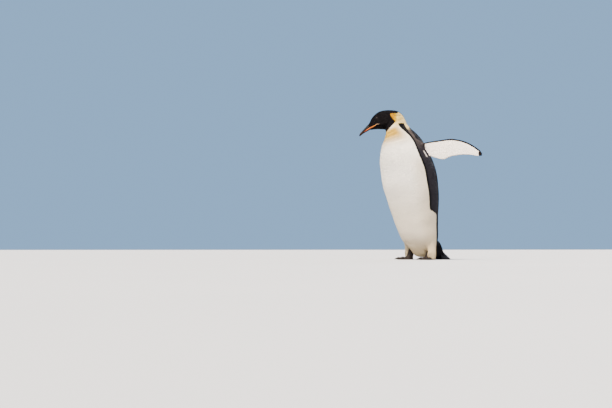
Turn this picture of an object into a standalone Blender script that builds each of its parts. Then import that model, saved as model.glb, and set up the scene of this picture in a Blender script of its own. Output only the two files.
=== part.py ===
"""An adult emperor penguin, life size, standing with its head bowed and its flippers held out behind it.

Metres, +Z up. The bird faces -Y and its left side is +X. The floor is z = 0, where the feet and tail rest.
Every body length is a share of HEIGHT, the height of the crown over the floor. The flesh is lofted from a
few named sections, merged into one skin, and then parted by thin cuts. Bill, eyes, feet and claws are set
into it.
"""

import math
from collections import namedtuple

import bpy
import bmesh
import numpy as np

# Driving dimensions
HEIGHT = 1.0  # crown over floor, with the head bowed
GAP = 0.0003  # clearance between solids that meet
SWELL = 1.3 * GAP  # growth of a curved cutter, whose facets come nearer than its corners
BILL_ROOM = 2 * GAP  # growth of the bill's own socket, whose facets are long and twisted
ORIGIN_FORWARD = 0.0584  # from the ankle line forward to the middle of the whole bird's box

# Fineness of the surfaces
SKIN_VOXEL = 0.0058 * HEIGHT
SKIN_FACES_KEPT = 0.041  # share of the merged skin's faces that is enough for its form
FOOT_VOXEL = 0.0026 * HEIGHT
FOOT_FACES_KEPT = 0.045
RING_POINTS = 48
LIMB_POINTS = 24
BILL_POINTS = 12

FEATHER_BLACK = (0.012, 0.012, 0.014, 1)
FEATHER_SLATE = (0.035, 0.036, 0.042, 1)
FEATHER_CREAM = (0.80, 0.74, 0.64, 1)
BILL_BLACK = (0.015, 0.012, 0.012, 1)
BILL_ORANGE = (0.70, 0.22, 0.10, 1)
EYE_BROWN = (0.03, 0.015, 0.008, 1)
FOOT_BLACK = (0.022, 0.018, 0.018, 1)
CLAW_HORN = (0.03, 0.025, 0.022, 1)

# A section of the trunk and neck. Lean tips it forward, turn swings it to the bird's right.
Section = namedtuple("Section", "height forward left turn lean half_width half_depth")
TRUNK_AND_NECK = [
    Section(0.020, -0.0175, 0.000, 0, 0, 0.043, 0.029),  # foot of the belly fold
    Section(0.036, -0.014, 0.000, 0, 0, 0.071, 0.049),
    Section(0.075, -0.014, 0.000, 0, 0, 0.097, 0.078),
    Section(0.108, -0.006, 0.000, 0, 0, 0.119, 0.104),
    Section(0.140, 0.003, 0.000, 0, 0, 0.137, 0.121),  # thighs
    Section(0.238, 0.026, 0.000, 0, 0, 0.158, 0.139),
    Section(0.372, 0.049, 0.000, 0, 0, 0.184, 0.162),  # belly
    Section(0.466, 0.066, 0.000, 0, 0, 0.198, 0.177),
    Section(0.566, 0.082, 0.000, 0, 0, 0.201, 0.180),  # breast
    Section(0.640, 0.099, 0.000, 0, 3, 0.193, 0.174),
    Section(0.700, 0.118, 0.000, 0, 7, 0.176, 0.158),  # shoulders
    Section(0.760, 0.132, 0.000, 3, 11, 0.149, 0.141),
    Section(0.806, 0.147, -0.001, 7, 15, 0.122, 0.118),
    Section(0.841, 0.160, -0.004, 12, 19, 0.097, 0.094),  # base of the neck
    Section(0.870, 0.168, -0.010, 18, 22, 0.078, 0.078),
    Section(0.898, 0.173, -0.017, 24, 27, 0.067, 0.074),
    Section(0.925, 0.183, -0.025, 30, 37, 0.058, 0.073),  # nape
    Section(0.946, 0.200, -0.033, 30, 48, 0.045, 0.061),
]

# The head is set out along its own axis, in shares of HEIGHT: ahead, up and to the bird's left.
HEAD_AT = (0.240, -0.050, 0.935)  # forward, left and up from the ankle line
HEAD_TURN = math.radians(30)  # to the bird's right
HEAD_BOW = math.radians(24)  # below level
HeadSection = namedtuple("HeadSection", "ahead top bottom half_width")
HEAD = [
    HeadSection(-0.117, -0.004, -0.036, 0.020),
    HeadSection(-0.101, 0.019, -0.050, 0.037),
    HeadSection(-0.073, 0.0375, -0.058, 0.047),
    HeadSection(-0.040, 0.0530, -0.065, 0.053),
    HeadSection(-0.010, 0.0620, -0.068, 0.055),  # crown
    HeadSection(0.018, 0.0640, -0.064, 0.053),
    HeadSection(0.048, 0.0565, -0.049, 0.043),  # brow and throat
    HeadSection(0.074, 0.0435, -0.037, 0.029),
    HeadSection(0.098, 0.0240, -0.029, 0.0165),
    HeadSection(0.112, 0.0168, -0.0255, 0.0120),  # feather edge at the bill
]

# The bill, shut. The lower half is broad at the back, where its plates lie flush with the cheeks.
BillSection = namedtuple("BillSection", "ahead top gape bottom upper_half_width lower_half_width")
BILL = [
    BillSection(0.058, 0.012, -0.0050, -0.0135, 0.0110, 0.0400),
    BillSection(0.076, 0.0195, -0.0050, -0.0155, 0.0112, 0.0292),
    BillSection(0.094, 0.0195, -0.0058, -0.0180, 0.0114, 0.0195),
    BillSection(0.112, 0.0150, -0.0076, -0.0212, 0.0110, 0.0124),
    BillSection(0.130, 0.0078, -0.0102, -0.0232, 0.0099, 0.0094),
    BillSection(0.150, -0.0006, -0.0148, -0.0245, 0.0083, 0.0074),
    BillSection(0.170, -0.0090, -0.0208, -0.0275, 0.0063, 0.0052),
    BillSection(0.185, -0.0160, -0.0262, -0.0312, 0.0047, 0.0034),
    BillSection(0.195, -0.0250, -0.0330, -0.0345, 0.0020, 0.0018),  # hooked tip
]
EYE_AT = (0.040, 0.0376, 0.025)  # ahead, out to the side and up from the head's middle
EYE_RADIUS = 0.0085
# The head is parted from the neck along a plane from throat to nape, given along the head's axis.
HEAD_CUT_AT = (0.000, -0.056)  # ahead and up
HEAD_CUT_SLOPE = math.radians(24)  # rise towards the nape
NECK_CUT_AT = (0.150, 0.812)  # forward and up
NECK_CUT_LEAN = math.radians(15)

# Flipper, from the shoulder outwards. Lead is above its axis and trail below it.
FlipperSection = namedtuple("FlipperSection", "out lead trail thickness")
FLIPPER = [
    FlipperSection(-0.060, 0.014, 0.020, 0.030),  # root, inside the shoulder
    FlipperSection(-0.025, 0.024, 0.032, 0.034),
    FlipperSection(0.005, 0.030, 0.044, 0.032),
    FlipperSection(0.044, 0.036, 0.064, 0.026),
    FlipperSection(0.084, 0.041, 0.078, 0.022),
    FlipperSection(0.118, 0.0455, 0.084, 0.020),  # elbow lobe
    FlipperSection(0.150, 0.0490, 0.070, 0.018),
    FlipperSection(0.182, 0.0485, 0.061, 0.0165),  # wrist
    FlipperSection(0.240, 0.0360, 0.0545, 0.0145),
    FlipperSection(0.286, 0.0160, 0.0570, 0.0125),
    FlipperSection(0.322, -0.0080, 0.0630, 0.0105),
    FlipperSection(0.345, -0.0260, 0.0650, 0.0085),
    FlipperSection(0.359, -0.0440, 0.0630, 0.0060),  # tip
]
SHOULDER_AT = (0.038, 0.140, 0.741)  # forward, out and up
FLIPPER_SWEEP = math.radians(55)  # back from straight out
FLIPPER_CURL = 0.018  # how far the tip bends towards the back
TRAILING_EDGE = 0.0018

# Legs, ankles and feet. The right foot is a stride ahead of the left one.
LegSection = namedtuple("LegSection", "height forward out half_width half_depth")
LEG = [
    LegSection(0.0065, 0.006, 0.100, 0.024, 0.028),
    LegSection(0.018, 0.006, 0.100, 0.029, 0.033),
    LegSection(0.055, 0.006, 0.098, 0.032, 0.037),
    LegSection(0.095, 0.006, 0.092, 0.036, 0.046),
    LegSection(0.150, 0.006, 0.076, 0.034, 0.050),
]
LEG_FORWARD = {"left": -0.037, "right": 0.020}
LEG_CUT_OUT = 0.052  # the leg is parted from the belly fold by an upright plane
LEG_CUT_HEIGHT = 0.080  # and from the thigh by a level one
Toe = namedtuple("Toe", "name splay length half_width height")
TOES = [
    Toe("inner", -26, 0.085, 0.0125, 0.020),
    Toe("middle", 0, 0.101, 0.0135, 0.022),
    Toe("outer", 27, 0.087, 0.0125, 0.020),
]
HEEL_BACK = 0.006  # behind the middle of the leg
HEEL_OUT = 0.088
FOOT_TURN = math.radians(9)  # outwards
TarsusSection = namedtuple("TarsusSection", "height ahead out half_width half_depth")
TARSUS = [
    TarsusSection(-0.006, 0.026, 0.080, 0.024, 0.032),
    TarsusSection(0.018, 0.020, 0.077, 0.022, 0.026),
    TarsusSection(0.040, 0.012, 0.073, 0.020, 0.022),
    TarsusSection(0.090, 0.004, 0.070, 0.020, 0.021),
]
WEB_HEIGHT = 0.0085
CLAW_LENGTH = 0.030
CLAW_RADIUS = 0.0052
CLAW_ROOT_HEIGHT = 0.0082
CLAW_DROP = 0.0050  # from its root to its tip
CLAW_SUNK = 0.20  # share of its length that lies inside the toe

# The tail is a blunt wedge that props the bird from behind. Its sections stand upright across the bird.
TailSection = namedtuple("TailSection", "forward middle half_width half_height")
TAIL = [
    TailSection(-0.070, 0.071, 0.040, 0.071),
    TailSection(-0.104, 0.071, 0.047, 0.072),
    TailSection(-0.128, 0.069, 0.051, 0.069),
    TailSection(-0.141, 0.061, 0.053, 0.061),
    TailSection(-0.151, 0.047, 0.053, 0.048),
    TailSection(-0.165, 0.034, 0.054, 0.038),
    TailSection(-0.182, 0.023, 0.054, 0.030),
    TailSection(-0.202, 0.012, 0.052, 0.023),
    TailSection(-0.219, 0.005, 0.048, 0.015),
]


def clear_scene():
    for left_over in list(bpy.data.objects):
        bpy.data.objects.remove(left_over)


def material(name, colour, roughness):
    made = bpy.data.materials.new(name)
    made.use_nodes = True
    shader = made.node_tree.nodes["Principled BSDF"]
    shader.inputs["Base Color"].default_value = colour
    shader.inputs["Roughness"].default_value = roughness
    shader.inputs["Metallic"].default_value = 0.0
    return made


def bird_point(forward, left, up):
    """A place on the bird, in metres, from shares of HEIGHT measured from the ankle line."""
    return np.array([left, ORIGIN_FORWARD - forward, up]) * HEIGHT


def head_point(ahead, out, up):
    """Places given along the head's own axis, as points of the bird."""
    flat = math.cos(HEAD_BOW) * np.asarray(ahead) + math.sin(HEAD_BOW) * np.asarray(up)
    rise = math.cos(HEAD_BOW) * np.asarray(up) - math.sin(HEAD_BOW) * np.asarray(ahead)
    left = HEAD_AT[1] + math.cos(HEAD_TURN) * np.asarray(out) - math.sin(HEAD_TURN) * flat
    forward = HEAD_AT[0] + math.cos(HEAD_TURN) * flat + math.sin(HEAD_TURN) * np.asarray(out)
    return np.stack([left, ORIGIN_FORWARD - forward, HEAD_AT[2] + rise], axis=-1) * HEIGHT


def smooth_rows(rows, steps):
    """Rows of numbers, one a section, run through by a Catmull-Rom curve in equal steps of the row index."""
    rows = np.array(rows, float)
    padded = np.vstack([2 * rows[0] - rows[1], rows, 2 * rows[-1] - rows[-2]])
    at = np.linspace(0, len(rows) - 1, steps)
    first = np.minimum(at.astype(int), len(rows) - 2)
    t = (at - first)[:, None]
    before, start, end, after = (padded[first + k] for k in range(4))
    return 0.5 * (
        2 * start
        + (end - before) * t
        + (2 * before - 5 * start + 4 * end - after) * t**2
        + (3 * start - before - 3 * end + after) * t**3
    )


def angles(count):
    return np.arange(count) * 2 * math.pi / count


def place(name, mesh, paint=None):
    made = bpy.data.objects.new(name, mesh)
    bpy.context.scene.collection.objects.link(made)
    if paint:
        mesh.materials.clear()
        mesh.materials.append(paint)
        mesh.shade_smooth()
    else:
        made.hide_render = True
        made.display_type = "WIRE"
    return made


def solid_from_rings(name, rings, paint=None):
    """A closed object through rings of points, with a fan at each end. Its faces are turned to point out."""
    shape = bmesh.new()
    rows = [[shape.verts.new(point) for point in ring] for ring in rings]
    count = len(rows[0])
    for low, high in zip(rows, rows[1:]):
        for i in range(count):
            j = (i + 1) % count
            shape.faces.new((low[i], low[j], high[j], high[i]))
    for row, ring in ((rows[0], rings[0]), (rows[-1], rings[-1])):
        middle = shape.verts.new(np.mean(ring, axis=0))
        for i in range(count):
            shape.faces.new((row[i], row[(i + 1) % count], middle))
    bmesh.ops.recalc_face_normals(shape, faces=shape.faces)
    mesh = bpy.data.meshes.new(name)
    shape.to_mesh(mesh)
    shape.free()
    return place(name, mesh, paint)


def box_cutter(name, low, high):
    """A box between two opposite corners."""
    (x0, y0, z0), (x1, y1, z1) = low, high
    rings = [[(x0, y0, z), (x1, y0, z), (x1, y1, z), (x0, y1, z)] for z in (z0, z1)]
    return solid_from_rings(name, rings)


def slab_cutter(name, point, upwards, side):
    """A thick slab on one side of a plane through a point, square to upwards. It passes it by half a gap."""
    reach = 1.3 * HEIGHT
    up = np.array(upwards) / np.linalg.norm(upwards)
    across = np.cross(up, [0.0, 1.0, 0.0])
    across /= np.linalg.norm(across)
    along = np.cross(up, across)
    corners = [(-1, -1), (1, -1), (1, 1), (-1, 1)]
    face = np.array([point + reach * (u * across + v * along) for u, v in corners])
    away = up if side == "above" else -up
    return solid_from_rings(name, [face - away * GAP / 2, face + away * reach])


def boolean(target, operation, *others):
    for other in others:
        modifier = target.modifiers.new(f"{operation.lower()} {other.name}", "BOOLEAN")
        modifier.operation = operation
        modifier.solver = "EXACT"
        modifier.object = other
    return target


def settled(source, name):
    """A new mesh that holds the source as its modifiers leave it. The source itself goes."""
    bpy.context.view_layer.update()
    graph = bpy.context.evaluated_depsgraph_get()
    mesh = bpy.data.meshes.new_from_object(source.evaluated_get(graph))
    mesh.name = name
    bpy.data.objects.remove(source)
    return mesh


def melted(name, forms, voxel, easing, share_kept):
    """Overlapping forms joined into one closed surface, eased, and thinned to the faces its shape needs."""
    shape = bmesh.new()
    for form in forms:
        shape.from_mesh(form.data)
        bpy.data.objects.remove(form)
    mesh = bpy.data.meshes.new(name)
    shape.to_mesh(mesh)
    shape.free()
    rough = place(name, mesh)
    melt = rough.modifiers.new("melt", "REMESH")
    melt.mode = "VOXEL"
    melt.voxel_size = voxel
    ease = rough.modifiers.new("ease", "SMOOTH")
    ease.factor = 0.5
    ease.iterations = easing
    thin = rough.modifiers.new("thin", "DECIMATE")
    thin.ratio = share_kept
    thin.use_collapse_triangulate = True
    return settled(rough, name)


def clearing(name, mesh):
    """Two cutters: a mesh swollen by the clearance, and the mesh itself for creases that swelling closes."""
    swollen = place(f"{name}_swollen", mesh.copy())
    swell = swollen.modifiers.new("swell", "DISPLACE")
    swell.strength = SWELL
    swell.mid_level = 0
    return swollen, place(f"{name}_plain", mesh.copy())


# The skin: trunk, neck, head and legs


def trunk_and_neck():
    around = angles(RING_POINTS)
    rings = []
    for height, forward, left, turn, lean, half_width, half_depth in smooth_rows(TRUNK_AND_NECK, 86):
        turn, lean = math.radians(turn), math.radians(lean)
        to_left = np.array([math.cos(turn), -math.sin(turn), 0])
        ahead = np.array([-math.sin(turn), -math.cos(turn), 0])
        front = ahead * math.cos(lean) - np.array([0, 0, math.sin(lean)])
        sideways = np.outer(half_width * np.sin(around), to_left)
        endways = np.outer(half_depth * np.cos(around), front)
        rings.append(bird_point(forward, left, height) + HEIGHT * (sideways + endways))
    return solid_from_rings("trunk_and_neck_form", rings)


def head_form():
    around = angles(RING_POINTS)
    rings = []
    for ahead, top, bottom, half_width in smooth_rows(HEAD, 34):
        up = (top + bottom) / 2 + (top - bottom) / 2 * np.cos(around)
        rings.append(head_point(np.full(RING_POINTS, ahead), half_width * np.sin(around), up))
    return solid_from_rings("head_form", rings)


def leg_form(side, sign):
    around = angles(LIMB_POINTS)
    rings = []
    for height, forward, out, half_width, half_depth in smooth_rows(LEG, 18):
        across = np.stack([half_width * np.sin(around), -half_depth * np.cos(around), 0 * around], axis=1)
        rings.append(bird_point(forward + LEG_FORWARD[side], sign * out, height) + HEIGHT * across)
    return solid_from_rings(f"leg_form_{side}", rings)


# Bill and eyes


def bill_half(name, which, paint=None, grow=0.0):
    """Half of the shut bill: D-shaped sections whose flat side lies along the gape."""
    around = angles(BILL_POINTS)
    upper = which == "upper"
    rows = smooth_rows(BILL, 17)
    rows = rows[2:] if upper else rows[:16]
    rings = []
    for index, (ahead, top, gape, bottom, upper_half, lower_half) in enumerate(rows):
        ahead += grow * ((index == len(rows) - 1) - (index == 0))
        flat = gape + (GAP / 2 - grow) * (1 if upper else -1)
        crown = top + grow if upper else bottom - grow
        half_width = (upper_half if upper else lower_half) + grow
        bulge = np.maximum(np.cos(around), 0) ** 0.85
        across = half_width * np.sign(np.sin(around)) * np.abs(np.sin(around)) ** 0.85
        rings.append(head_point(np.full(BILL_POINTS, ahead), across, flat + (crown - flat) * bulge))
    return solid_from_rings(name, rings, paint)


def eye(name, sign, paint=None, grow=0.0):
    mesh = bpy.data.meshes.new(name)
    shape = bmesh.new()
    bmesh.ops.create_uvsphere(shape, u_segments=12, v_segments=8, radius=EYE_RADIUS * HEIGHT + grow)
    shape.to_mesh(mesh)
    shape.free()
    made = place(name, mesh, paint)
    ahead, out, up = EYE_AT
    made.location = head_point(ahead, sign * out, up)
    return made


# Flippers and tail


def flipper_form(side, sign, paint):
    """Aerofoil rings from the shoulder to the tip, thickest just behind the leading edge."""
    outwards = np.array([sign * math.cos(FLIPPER_SWEEP), math.sin(FLIPPER_SWEEP), 0])
    backwards = np.array([-sign * math.sin(FLIPPER_SWEEP), math.cos(FLIPPER_SWEEP), 0])
    upwards = np.array([0.0, 0.0, 1.0])
    forward, out, up = SHOULDER_AT
    shoulder = bird_point(forward, sign * out, up)
    around = angles(14)
    chord = (1 - np.cos(around)) / 2
    fullness = 1.55 * np.sqrt(chord) * (1 - chord) + 0.35 * chord * (1 - chord)
    faces = np.where(np.abs(np.sin(around)) < 1e-9, 0, np.sign(np.sin(around)))
    rings = []
    for out, lead, trail, thickness in smooth_rows(FLIPPER, 23):
        half = (thickness - TRAILING_EDGE) * fullness / 2 + TRAILING_EDGE / 2 * np.sqrt(chord)
        curl = FLIPPER_CURL * max(out / FLIPPER[-1].out, 0) ** 2
        ring = out * outwards + np.outer(lead - (lead + trail) * chord, upwards)
        rings.append(shoulder + HEIGHT * (ring + np.outer(curl + half * faces, backwards)))
    return solid_from_rings(f"flipper_{side}", rings, paint)


def tail_form(paint):
    around = angles(20)
    rings = []
    for forward, middle, half_width, half_height in smooth_rows(TAIL, 12):
        across = half_width * np.sin(around)
        up = half_height * np.cos(around) - 0.25 * half_height * np.sin(around) ** 2
        rings.append(bird_point(forward, 0, middle) + HEIGHT * np.stack([across, 0 * across, up], axis=1))
    return solid_from_rings("tail", rings, paint)


# Feet


def foot_point(side, sign, ahead, out, up, splay=0.0):
    """A place on a foot, ahead and out from its heel, with its toes turned out by the splay."""
    turn = FOOT_TURN + math.radians(splay)
    forward = LEG_FORWARD[side] - HEEL_BACK + ahead * math.cos(turn) - out * math.sin(turn)
    across = HEEL_OUT + ahead * math.sin(turn) + out * math.cos(turn)
    return bird_point(forward, sign * across, up)


def toe_oval(side, sign, toe, ahead, half_width, middle, half_height, count):
    """A ring around a toe's axis, some way ahead of the heel."""
    around = angles(count)
    outs, ups = half_width * np.sin(around), middle + half_height * np.cos(around)
    return [foot_point(side, sign, ahead, out, up, toe.splay) for out, up in zip(outs, ups)]


def toe_form(side, sign, toe):
    """A toe with three knuckles, from the heel to the root of its claw, its underside through the floor."""
    rings = []
    for share in np.linspace(0, 1, 16):
        knuckle = 1 + 0.10 * math.cos(share * 6 * math.pi)
        wide = toe.half_width * knuckle * (1 - 0.35 * share**3)
        tall = toe.height * knuckle * (1.10 - 0.32 * share)
        along = toe.length * share
        rings.append(toe_oval(side, sign, toe, along, wide, 0.3 * tall, 0.7 * tall, LIMB_POINTS))
    return solid_from_rings(f"toe_form_{side}", rings)


def web_form(side, sign):
    """The skin between the toes, whose front edge is hollowed between one toe and the next."""
    inner, middle, outer = TOES
    edge = [
        (0.000, 0),
        (inner.length * 0.80, inner.splay),
        (middle.length * 0.66, inner.splay / 2),
        (middle.length * 0.82, 0),
        (middle.length * 0.66, outer.splay / 2),
        (outer.length * 0.80, outer.splay),
    ]
    rings = []
    for up in (-WEB_HEIGHT / 2, WEB_HEIGHT):
        rings.append([foot_point(side, sign, ahead, 0, up, splay) for ahead, splay in edge])
    return solid_from_rings(f"web_form_{side}", rings)


def tarsus_form(side, sign):
    around = angles(LIMB_POINTS)
    rings = []
    for height, ahead, out, half_width, half_depth in smooth_rows(TARSUS, 12):
        across = np.stack([half_width * np.sin(around), -half_depth * np.cos(around), 0 * around], axis=1)
        middle = bird_point(LEG_FORWARD[side] + ahead, sign * out, height)
        rings.append(middle + HEIGHT * across)
    return solid_from_rings(f"tarsus_form_{side}", rings)


def claw_form(side, sign, toe, paint):
    """A tapered claw that leaves the toe level and bends down to just above the floor."""
    rings = []
    for share in np.linspace(-CLAW_SUNK, 1, 6):
        out_of_toe = max(share, 0)
        radius = CLAW_RADIUS * (1 - 0.86 * out_of_toe**1.6)
        ahead = toe.length - 0.1 * CLAW_LENGTH + CLAW_LENGTH * share
        middle = CLAW_ROOT_HEIGHT + 0.2 * radius - CLAW_DROP * out_of_toe**2
        rings.append(toe_oval(side, sign, toe, ahead, radius, middle, 1.15 * radius, 8))
    return solid_from_rings(f"claw_{side}_{toe.name}", rings, paint)


def build():
    clear_scene()
    cream = material("cream feathers", FEATHER_CREAM, 0.75)
    slate = material("slate feathers", FEATHER_SLATE, 0.7)
    black = material("black feathers", FEATHER_BLACK, 0.65)
    horn = material("black bill horn", BILL_BLACK, 0.3)
    plate = material("orange bill plate", BILL_ORANGE, 0.35)
    iris = material("brown eye", EYE_BROWN, 0.1)
    scales = material("black foot scales", FOOT_BLACK, 0.55)
    claw_horn = material("claw horn", CLAW_HORN, 0.4)

    forms = [trunk_and_neck(), head_form(), leg_form("left", 1), leg_form("right", -1)]
    skin = melted("skin", forms, SKIN_VOXEL, 6, SKIN_FACES_KEPT)
    skin_clearance = clearing("skin", skin)
    floor = box_cutter("floor", (-HEIGHT, -HEIGHT, -HEIGHT), (HEIGHT, HEIGHT, 0))

    # The head keeps what lies above the throat plane, with sockets for bill and eyes.
    head_up = head_point(0, 0, 1) - head_point(0, 0, 0)
    head_ahead = head_point(1, 0, 0) - head_point(0, 0, 0)
    head_normal = head_up * math.cos(HEAD_CUT_SLOPE) + head_ahead * math.sin(HEAD_CUT_SLOPE)
    throat = head_point(HEAD_CUT_AT[0], 0, HEAD_CUT_AT[1])
    below_throat = slab_cutter("below_throat", throat, head_normal, "below")
    above_throat = slab_cutter("above_throat", throat, head_normal, "above")
    sockets = [bill_half(f"bill_{half}_socket", half, grow=BILL_ROOM) for half in ("upper", "lower")]
    for side, sign in (("left", 1), ("right", -1)):
        sockets.append(eye(f"eye_{side}_socket", sign, grow=SWELL))
        eye(f"eye_{side}", sign, iris)
    boolean(place("head", skin.copy(), black), "DIFFERENCE", below_throat, *sockets)
    bill_half("bill_upper", "upper", horn)
    bill_half("bill_lower", "lower", plate)

    # The neck lies between the throat plane and the shoulders, and the trunk is the rest.
    shoulders = bird_point(NECK_CUT_AT[0], 0, NECK_CUT_AT[1])
    neck_normal = (0, -math.sin(NECK_CUT_LEAN), math.cos(NECK_CUT_LEAN))
    below_shoulders = slab_cutter("below_shoulders", shoulders, neck_normal, "below")
    above_shoulders = slab_cutter("above_shoulders", shoulders, neck_normal, "above")
    boolean(place("neck", skin.copy(), cream), "DIFFERENCE", above_throat, below_shoulders)
    trunk = boolean(place("trunk", skin.copy(), cream), "DIFFERENCE", above_shoulders)

    # Each leg is parted from the belly fold and the thigh. Its foot rises inside and in front of it.
    for side, sign in (("left", 1), ("right", -1)):
        near, far = sign * LEG_CUT_OUT * HEIGHT, sign * 0.5 * HEIGHT
        top = LEG_CUT_HEIGHT * HEIGHT
        parting = box_cutter(f"leg_room_{side}", (near, -HEIGHT, -HEIGHT), (far, HEIGHT, top))
        inside = near + sign * GAP
        keeping = box_cutter(f"leg_block_{side}", (inside, -HEIGHT, -HEIGHT), (far, HEIGHT, top - GAP))
        boolean(trunk, "DIFFERENCE", parting)
        boolean(place(f"leg_{side}", skin.copy(), cream), "INTERSECT", keeping)

        forms = [toe_form(side, sign, toe) for toe in TOES] + [web_form(side, sign), tarsus_form(side, sign)]
        foot_mesh = melted(f"foot_{side}", forms, FOOT_VOXEL, 3, FOOT_FACES_KEPT)
        boolean(place(f"foot_{side}", foot_mesh, scales), "DIFFERENCE", floor, *skin_clearance)
        foot_clearance = clearing(f"foot_form_{side}", foot_mesh)
        for toe in TOES:
            boolean(claw_form(side, sign, toe, claw_horn), "DIFFERENCE", *foot_clearance)

        boolean(flipper_form(side, sign, slate), "DIFFERENCE", *skin_clearance)
    boolean(tail_form(black), "DIFFERENCE", floor, *skin_clearance)


build()
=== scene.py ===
"""The looks of a life-size emperor penguin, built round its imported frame.

Metres, +Z up. The bird faces -Y and its left side is +X. Places on it are given forward, left and up from
the line between its ankles, and its height over the floor, with the head bowed, is one metre.
"""

from collections import namedtuple

import bpy
import numpy as np
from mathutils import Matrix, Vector


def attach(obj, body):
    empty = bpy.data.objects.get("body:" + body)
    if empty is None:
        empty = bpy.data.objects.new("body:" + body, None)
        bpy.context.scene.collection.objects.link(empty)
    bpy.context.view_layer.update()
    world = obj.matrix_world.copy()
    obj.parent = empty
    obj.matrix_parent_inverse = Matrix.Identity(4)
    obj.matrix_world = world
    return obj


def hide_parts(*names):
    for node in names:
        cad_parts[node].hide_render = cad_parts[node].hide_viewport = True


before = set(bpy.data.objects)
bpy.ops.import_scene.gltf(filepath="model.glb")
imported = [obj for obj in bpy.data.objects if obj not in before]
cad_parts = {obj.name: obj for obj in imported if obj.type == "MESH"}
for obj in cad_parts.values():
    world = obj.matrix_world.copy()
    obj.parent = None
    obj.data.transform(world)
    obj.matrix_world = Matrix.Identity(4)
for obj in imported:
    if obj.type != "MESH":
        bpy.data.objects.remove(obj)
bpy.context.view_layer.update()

# ---- The studio ----
# A plain pale floor runs on to the horizon, under broad soft lamps and an even pale sky. The camera is a
# 50 mm lens a hand's breadth over the floor, almost six metres off, towards the bird's left front.


def linear(code):
    """Red, green and blue of an sRGB hex colour, turned to linear light."""
    shares = np.array([int(code[i : i + 2], 16) for i in (1, 3, 5)]) / 255
    return np.where(shares <= 0.04045, shares / 12.92, ((shares + 0.055) / 1.055) ** 2.4)


def rgba(code):
    return (*linear(code), 1.0)


def node(tree, kind, inputs=(), **settings):
    """Adds a node. An input is a plain value, or another node's output, which is then linked to it."""
    made = tree.nodes.new(kind)
    for name, value in settings.items():
        setattr(made, name, value)
    for name, value in dict(inputs).items():
        if isinstance(value, bpy.types.NodeSocket):
            tree.links.new(value, made.inputs[name])
        else:
            made.inputs[name].default_value = value
    return made


def new_material(name, shine):
    """A Principled material with the values given. Returns it, its tree and its shader."""
    made = bpy.data.materials.new(name)
    made.use_nodes = True
    shader = made.node_tree.nodes["Principled BSDF"]
    for socket, value in shine.items():
        shader.inputs[socket].default_value = value
    return made, made.node_tree, shader


def show(name, mesh):
    made = bpy.data.objects.new(name, mesh)
    bpy.context.scene.collection.objects.link(made)
    return made


FLOOR_REACH = 60.0
FLOOR_SQUARES = 12


def floor_mesh():
    """A level square grid: x and y run evenly from one edge to the other, and z is 0."""
    edge = np.linspace(-FLOOR_REACH, FLOOR_REACH, FLOOR_SQUARES + 1)
    x, y = (side.ravel() for side in np.meshgrid(edge, edge))
    corner = np.arange(FLOOR_SQUARES) + (FLOOR_SQUARES + 1) * np.arange(FLOOR_SQUARES)[:, None]
    square = np.stack([corner, corner + 1, corner + FLOOR_SQUARES + 2, corner + FLOOR_SQUARES + 1], axis=-1)
    mesh = bpy.data.meshes.new("studio_floor")
    mesh.from_pydata(np.stack([x, y, 0 * x], axis=1), [], square.reshape(-1, 4))
    return mesh


def painted_floor():
    """Matt paint: one pale tone, with a slow unevenness that a brush and feet leave."""
    made, tree, shader = new_material("matt floor paint", {"Roughness": 0.75, "Specular IOR Level": 0.3})
    place = node(tree, "ShaderNodeTexCoord").outputs["Object"]
    drift = node(tree, "ShaderNodeTexNoise", {"Vector": place, "Scale": 0.8, "Detail": 3.0})
    tones = node(tree, "ShaderNodeValToRGB", {"Fac": drift.outputs["Fac"]})
    tones.color_ramp.elements[0].color = rgba("#909296")
    tones.color_ramp.elements[1].color = rgba("#98999c")
    tree.links.new(tones.outputs["Color"], shader.inputs["Base Color"])
    return made


floor = show("studio_floor", floor_mesh())
floor.data.materials.append(painted_floor())

world = bpy.data.worlds.new("studio")
bpy.context.scene.world = world
world.use_nodes = True
world.node_tree.nodes["Background"].inputs["Color"].default_value = rgba("#86abd2")
world.node_tree.nodes["Background"].inputs["Strength"].default_value = 1.3


def lamp(name, bearing, height, spread, power, tone):
    """A broad soft light from far off, shining from a bearing, round from the bird's front to its left, and
    a height over the floor, both in degrees. The spread is how wide the light looks, in degrees."""
    light = bpy.data.lights.new(name, "SUN")
    light.angle = np.radians(spread)
    light.energy = power
    light.color = linear(tone)
    made = show(name, light)
    turn, lift = np.radians([bearing, height])
    towards = Vector((np.sin(turn) * np.cos(lift), -np.cos(turn) * np.cos(lift), np.sin(lift)))
    made.rotation_euler = (-towards).to_track_quat("-Z", "Y").to_euler()


lamp("key_lamp", 30, 56, 20, 28.0, "#fff0dc")
lamp("fill_lamp", 95, 18, 60, 2.4, "#fff4ea")
lamp("back_lamp", 215, 34, 40, 3.0, "#f8f6ff")

ORIGIN_FORWARD = 0.0584  # from the ankle line forward to the middle of the bird's box
CAMERA_BEARING = np.radians(60)
CAMERA_DISTANCE = 5.744
CAMERA_HEIGHT = 0.072
CAMERA_SIDE_AIM = np.radians(7.64)  # the bird stands right of the middle of the view
CAMERA_TILT = np.radians(3.03)

camera = bpy.data.cameras.new("camera")
camera.lens = 50
camera.sensor_width = 36
camera_object = show("camera", camera)
to_camera = np.array([np.sin(CAMERA_BEARING), -np.cos(CAMERA_BEARING), 0])
camera_right = np.array([np.cos(CAMERA_BEARING), np.sin(CAMERA_BEARING), 0])
camera_object.location = to_camera * CAMERA_DISTANCE + np.array([0, ORIGIN_FORWARD, CAMERA_HEIGHT])
level_aim = -to_camera * np.cos(CAMERA_SIDE_AIM) - camera_right * np.sin(CAMERA_SIDE_AIM)
view_aim = level_aim * np.cos(CAMERA_TILT) + np.array([0, 0, np.sin(CAMERA_TILT)])
camera_object.rotation_euler = Vector(view_aim).to_track_quat("-Z", "Y").to_euler()
bpy.context.scene.camera = camera_object

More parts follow.
